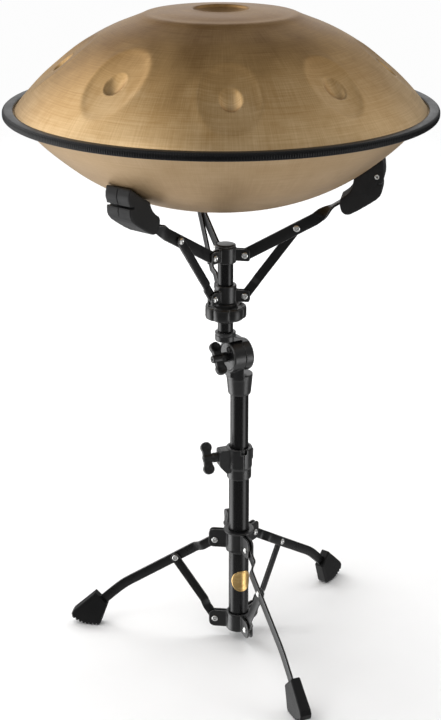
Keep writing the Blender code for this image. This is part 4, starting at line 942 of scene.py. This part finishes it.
for i, az in enumerate(ARM_AZ, 1):
    r, t = radial(az)
    off = (PAN_C - POST_C).dot(r)
    contact = [(rho, z_shell(rho, off) - 0.0008) for rho in (0.2035, 0.1970, 0.1900, 0.1830, 0.1760, 0.1690)]
    top = contact[0]
    outline = contact + [(0.1686, contact[-1][1] - 0.0045), (0.1668, 0.6832), (0.1640, 0.6786), (0.1604, 0.6746),
                         (0.1560, 0.6713), (0.1524, 0.6690), (0.1513, 0.6640), (0.1524, 0.6570), (0.1552, 0.6508),
                         (0.1595, 0.6480), (0.1650, 0.6484), (0.1760, 0.6545), (0.1900, 0.6635), (0.1985, 0.6695),
                         (0.2034, 0.6745), (0.2058, 0.6805), (0.2060, 0.6868), (0.2050, 0.6902), (0.2056, 0.6935),
                         (0.2078, 0.6985), (0.2080, 0.7045), (top[0] + 0.0034, top[1] - 0.0060), (top[0] + 0.0020, top[1] - 0.0012)]
    bm = bmesh.new()
    add_prism(bm, outline, POST_C, r, UP, t, -GRIP_W / 2, GRIP_W / 2)
    me = to_mesh(bm, "grip")
    # soft rounded body first, then the slot across the outer end and the seam down its middle
    me = cast_mesh(me, 0.0010, 12, 0.8)
    for prof_, w0, w1 in (([(0.1985, 0.6884), (0.2200, 0.6902), (0.2200, 0.6932), (0.1985, 0.6916)], -0.03, 0.03),
                          ([(0.2036, 0.6400), (0.2200, 0.6400), (0.2200, 0.7300), (0.2052, 0.7300)], -0.0007, 0.0007)):
        tb = bmesh.new()
        add_prism(tb, prof_, POST_C, r, UP, t, w0, w1)
        me = cut_with(me, to_mesh(tb, "grip_cut"))
    finish_object("arm_grip_%d_fine" % i, me, M_RUBBER, "basket_arm_%d" % i, ("arm_grip_%d" % i,), 0)
    # cross screw that holds the rubber on the arm
    turned("grip_screw_%d" % i, [(0, -0.0010), (0.0016, -0.0010), (0.0018, -0.0003), (0.0012, 0.0), (0.0024, 0.0004),
                                 (0.0030, 0.0), (0.0032, 0.0), (0.0032, -0.0030), (0, -0.0030)][::-1],
           POST_C + r * 0.1985 + UP * 0.7000 - t * (GRIP_W / 2 + 0.0002), M_NICKEL, "basket_arm_%d" % i, (),
           axis=-t, segs=28, closed=False)

for i, az in enumerate(LEG_AZ, 1):
    r, t = radial(az)
    o = Vector((0, 0, 0))
    base = [(0.2062, 0.0), (0.2095, -FOOT_DROP), (0.2260, -FOOT_DROP), (0.2310, -0.0027), (0.2375, -0.0007),
            (0.2440, 0.0028), (0.2490, 0.0065)]
    # seven rounded teeth along the curved sole
    pts2, run_s = [], 0.0
    for a_, b_ in zip(base[1:-1], base[2:]):
        va, vb = Vector(a_), Vector(b_)
        n_ = max(2, int((vb - va).length / 0.0004))
        nrm = Vector((-(vb - va).y, (vb - va).x)).normalized()
        for k in range(n_):
            f = k / n_
            ss = run_s + (vb - va).length * f
            depth = 0.0027 * (0.5 - 0.5 * math.cos(2 * math.pi * ss / 0.00585)) ** 2.2
            q = va.lerp(vb, f) + nrm * depth
            pts2.append((q.x, q.y))
        run_s += (vb - va).length
    out = [(0.2135, 0.0500), (0.1953, 0.0306), (0.1965, 0.0275), (0.2062, 0.0)] + pts2 + [(0.2490, 0.0065),
                                                                                       (0.2502, 0.0130), (0.2470, 0.0185)]
    cx, cy = 0.2240, 0.0190
    layers = []
    for side_t, inset in ((-1.0, 0.075), (-0.80, 0.0), (0.80, 0.0), (1.0, 0.075)):
        layers.append((side_t, [(x + (cx - x) * inset, y + (cy - y) * inset) for x, y in out]))
    bm = bmesh.new()
    prev_l = None
    for side_t, pts_l in layers:
        row = []
        for x, y in pts_l:
            hw = 0.0072 + 0.0016 * min(1.0, max(0.0, (0.046 - y) / 0.046))
            row.append(bm.verts.new(o + r * x + UP * y + t * (LEG_OFF + side_t * hw)))
        if prev_l is None:
            bm.faces.new(row)
        else:
            for k in range(len(row)):
                j = (k + 1) % len(row)
                bm.faces.new((prev_l[k], prev_l[j], row[j], row[k]))
        prev_l = row
    bm.faces.new(list(reversed(prev_l)))
    me = cast_mesh(to_mesh(bm, "foot"), 0.00055, 3, 0.45)
    finish_object("foot_%d_fine" % i, me, M_BOOT, "leg_%d" % i, ("foot_%d" % i,), 0)

# badge: plain disc with a raised ring, wrapped round the tube
BADGE_AZ, BADGE_Z, BADGE_R = -68.0, 0.0930, 16.5
rings = []
prof = [(0.6, 0.55), (4.0, 0.55), (8.0, 0.55), (11.0, 0.55), (13.0, 0.55), (13.6, 0.58), (14.1, 0.80), (15.2, 0.85),
        (15.9, 0.80), (16.4, 0.60), (16.5, 0.35), (16.3, 0.12), (12.0, 0.12), (6.0, 0.12), (0.6, 0.12)]
bm = bmesh.new()
vr = []
for rr, hgt in prof:
    row = []
    for j in range(72):
        a = 2 * math.pi * j / 72
        thv = math.radians(BADGE_AZ) + rr * math.cos(a) / (LT_R * 1000)
        rad = LT_R + hgt / 1000
        row.append(bm.verts.new(Vector((rad * math.cos(thv), rad * math.sin(thv), BADGE_Z + rr * math.sin(a) / 1000))))
    vr.append(row)
for a, b in zip(vr[:-1], vr[1:]):
    for j in range(72):
        k = (j + 1) % 72
        bm.faces.new((a[j], b[j], b[k], a[k]))
bm.faces.new(vr[0])
bm.faces.new(list(reversed(vr[-1])))
finish_object("badge_fine", to_mesh(bm, "badge"), M_GOLD, "stand_base", ("badge",), 50.0)

# ---------------------------------------------------------------- stage
N = Nodes("floor_paper")
fv = N.noise(N.coords(), 4.0, 3.0, 0.5)
N.set(N.ramp(fv, [(0.3, (0.86, 0.86, 0.86)), (0.7, (0.90, 0.90, 0.90))]), 0.85)
# the paper fades into the pale surroundings, so it has no edge from any side
fg = N.n("ShaderNodeNewGeometry")
fl = N.n("ShaderNodeVectorMath", operation="LENGTH")
N.link(fg.outputs["Position"], fl.inputs[0])
N.link(N.rng(fl.outputs["Value"], 1.5, 3.6, 1.0, 0.0), N.b.inputs["Alpha"])
bm = bmesh.new()
W = 4.0
pts = [(-W + 2 * W * k / 8, 0.0) for k in range(9)]
row0 = [bm.verts.new((-W, y, z - 0.0004)) for y, z in pts]
row1 = [bm.verts.new((W, y, z - 0.0004)) for y, z in pts]
for k in range(len(pts) - 1):
    bm.faces.new((row0[k], row1[k], row1[k + 1], row0[k + 1]))
me = bpy.data.meshes.new("floor")
bm.to_mesh(me)
bm.free()
me.materials.append(N.m)
me.shade_smooth()
floor = bpy.data.objects.new("floor", me)
COLL.objects.link(floor)
floor.visible_glossy = False      # gloss shows the softboxes, not the white paper
floor.visible_shadow = False

world = bpy.data.worlds.new("studio")
scene.world = world
world.use_nodes = True
wt = world.node_tree
bg = wt.nodes["Background"]


def wn(kind, **kw):
    x = wt.nodes.new(kind)
    for k, v in kw.items():
        setattr(x, k, v)
    return x


tc = wn("ShaderNodeTexCoord")
sp = wn("ShaderNodeSeparateXYZ")
wt.links.new(tc.outputs["Generated"], sp.inputs[0])
rp = wn("ShaderNodeValToRGB")
half = wn("ShaderNodeMapRange")
for k_, v_ in (("From Min", -1.0), ("From Max", 1.0), ("To Min", 0.0), ("To Max", 1.0)):
    half.inputs[k_].default_value = v_
wt.links.new(sp.outputs["Z"], half.inputs["Value"])
wt.links.new(half.outputs["Result"], rp.inputs["Fac"])
e = rp.color_ramp.elements
e[0].position, e[0].color = 0.0, (0.62, 0.62, 0.62, 1)
e[1].position, e[1].color = 1.0, (0.26, 0.26, 0.265, 1)
for p, v in ((0.18, 0.55), (0.27, 0.14), (0.42, 0.10), (0.50, 0.20), (0.62, 0.26), (0.80, 0.22), (0.93, 0.20)):
    x = e.new(p)
    x.color = (v, v, v, 1)
total = rp.outputs["Color"]


def softbox(direction, inner, outer, power, col=(1, 1, 1)):
    """Add a round soft light to the sky, fading from inner to outer degrees."""
    global total
    d = Vector(direction).normalized()
    dot = wn("ShaderNodeVectorMath", operation="DOT_PRODUCT")
    wt.links.new(tc.outputs["Generated"], dot.inputs[0])
    dot.inputs[1].default_value = d
    mr = wn("ShaderNodeMapRange", interpolation_type="SMOOTHSTEP")
    mr.inputs["From Min"].default_value = math.cos(math.radians(outer))
    mr.inputs["From Max"].default_value = math.cos(math.radians(inner))
    wt.links.new(dot.outputs["Value"], mr.inputs["Value"])
    mul = wn("ShaderNodeVectorMath", operation="SCALE")
    mul.inputs[0].default_value = [power * c for c in col]
    wt.links.new(mr.outputs["Result"], mul.inputs["Scale"])
    add = wn("ShaderNodeVectorMath", operation="ADD")
    wt.links.new(total, add.inputs[0])
    wt.links.new(mul.outputs[0], add.inputs[1])
    total = add.outputs[0]


# behind and above, left stronger than right: the sweep of light over the dome
softbox((-0.78, 0.42, 0.46), 8, 36, 1.55)
softbox((-0.56, -0.22, 0.80), 6, 28, 0.75)
softbox((0.76, 0.36, 0.52), 8, 34, 0.55)
softbox((0.45, -0.25, 0.85), 6, 28, 0.35)
softbox((0.0, 0.95, 0.30), 6, 26, 0.95)
softbox((0.10, -0.86, 0.42), 6, 24, 0.45)
# below, seen in the lower shell
softbox((-0.45, 0.65, -0.60), 8, 34, 0.40)
# two upright strips, low down, for the bands on tubes and castings
softbox((0.84, -0.42, -0.34), 6, 22, 3.0)
softbox((-0.93, 0.10, -0.34), 8, 32, 3.6)
wt.links.new(total, bg.inputs["Color"])
bg.inputs["Strength"].default_value = 1.0
# seen directly, from any side, the studio is plain and pale
seen = wn("ShaderNodeBackground")
seen.inputs["Color"].default_value = (0.98, 0.98, 0.98, 1)
path = wn("ShaderNodeLightPath")
pick = wn("ShaderNodeMixShader")
wt.links.new(path.outputs["Is Camera Ray"], pick.inputs[0])
wt.links.new(bg.outputs[0], pick.inputs[1])
wt.links.new(seen.outputs[0], pick.inputs[2])
wt.links.new(pick.outputs[0], wt.nodes["World Output"].inputs["Surface"])


def area(name, loc, target, sx, sy, power, col=(1, 1, 1)):
    l = bpy.data.lights.new(name, "AREA")
    l.shape = "RECTANGLE"
    l.size, l.size_y, l.energy, l.color = sx, sy, power, col
    o = bpy.data.objects.new(name, l)
    COLL.objects.link(o)
    o.location = loc
    o.rotation_euler = (Vector(target) - Vector(loc)).to_track_quat("-Z", "Y").to_euler()
    return o


top_l = area("overhead", (-0.5, -0.4, 3.4), (0, 0, 0), 2.6, 2.6, 62)
key = area("key", (-2.2, -2.0, 2.3), (0, 0, 0.5), 1.4, 1.8, 18)
back = area("backdrop", (0.0, 1.6, 3.4), (0, 3.6, 0.8), 6.0, 2.0, 150)
for l in (top_l, back):
    l.visible_glossy = False

cam = bpy.data.cameras.new("camera")
cam_ob = bpy.data.objects.new("camera", cam)
COLL.objects.link(cam_ob)
cam_ob.location = Vector((-0.0262, -1.9944, 1.1821)) + OFF
cam_ob.rotation_euler = (math.radians(90 - 20.70), 0, 0)
cam.sensor_fit = "AUTO"
cam.sensor_width = 36.0
cam.lens = 1554.67 * 36.0 / 720.0
cam.clip_start, cam.clip_end = 0.05, 60
scene.camera = cam_ob
scene.view_settings.view_transform = "Standard"
scene.view_settings.look = "None"
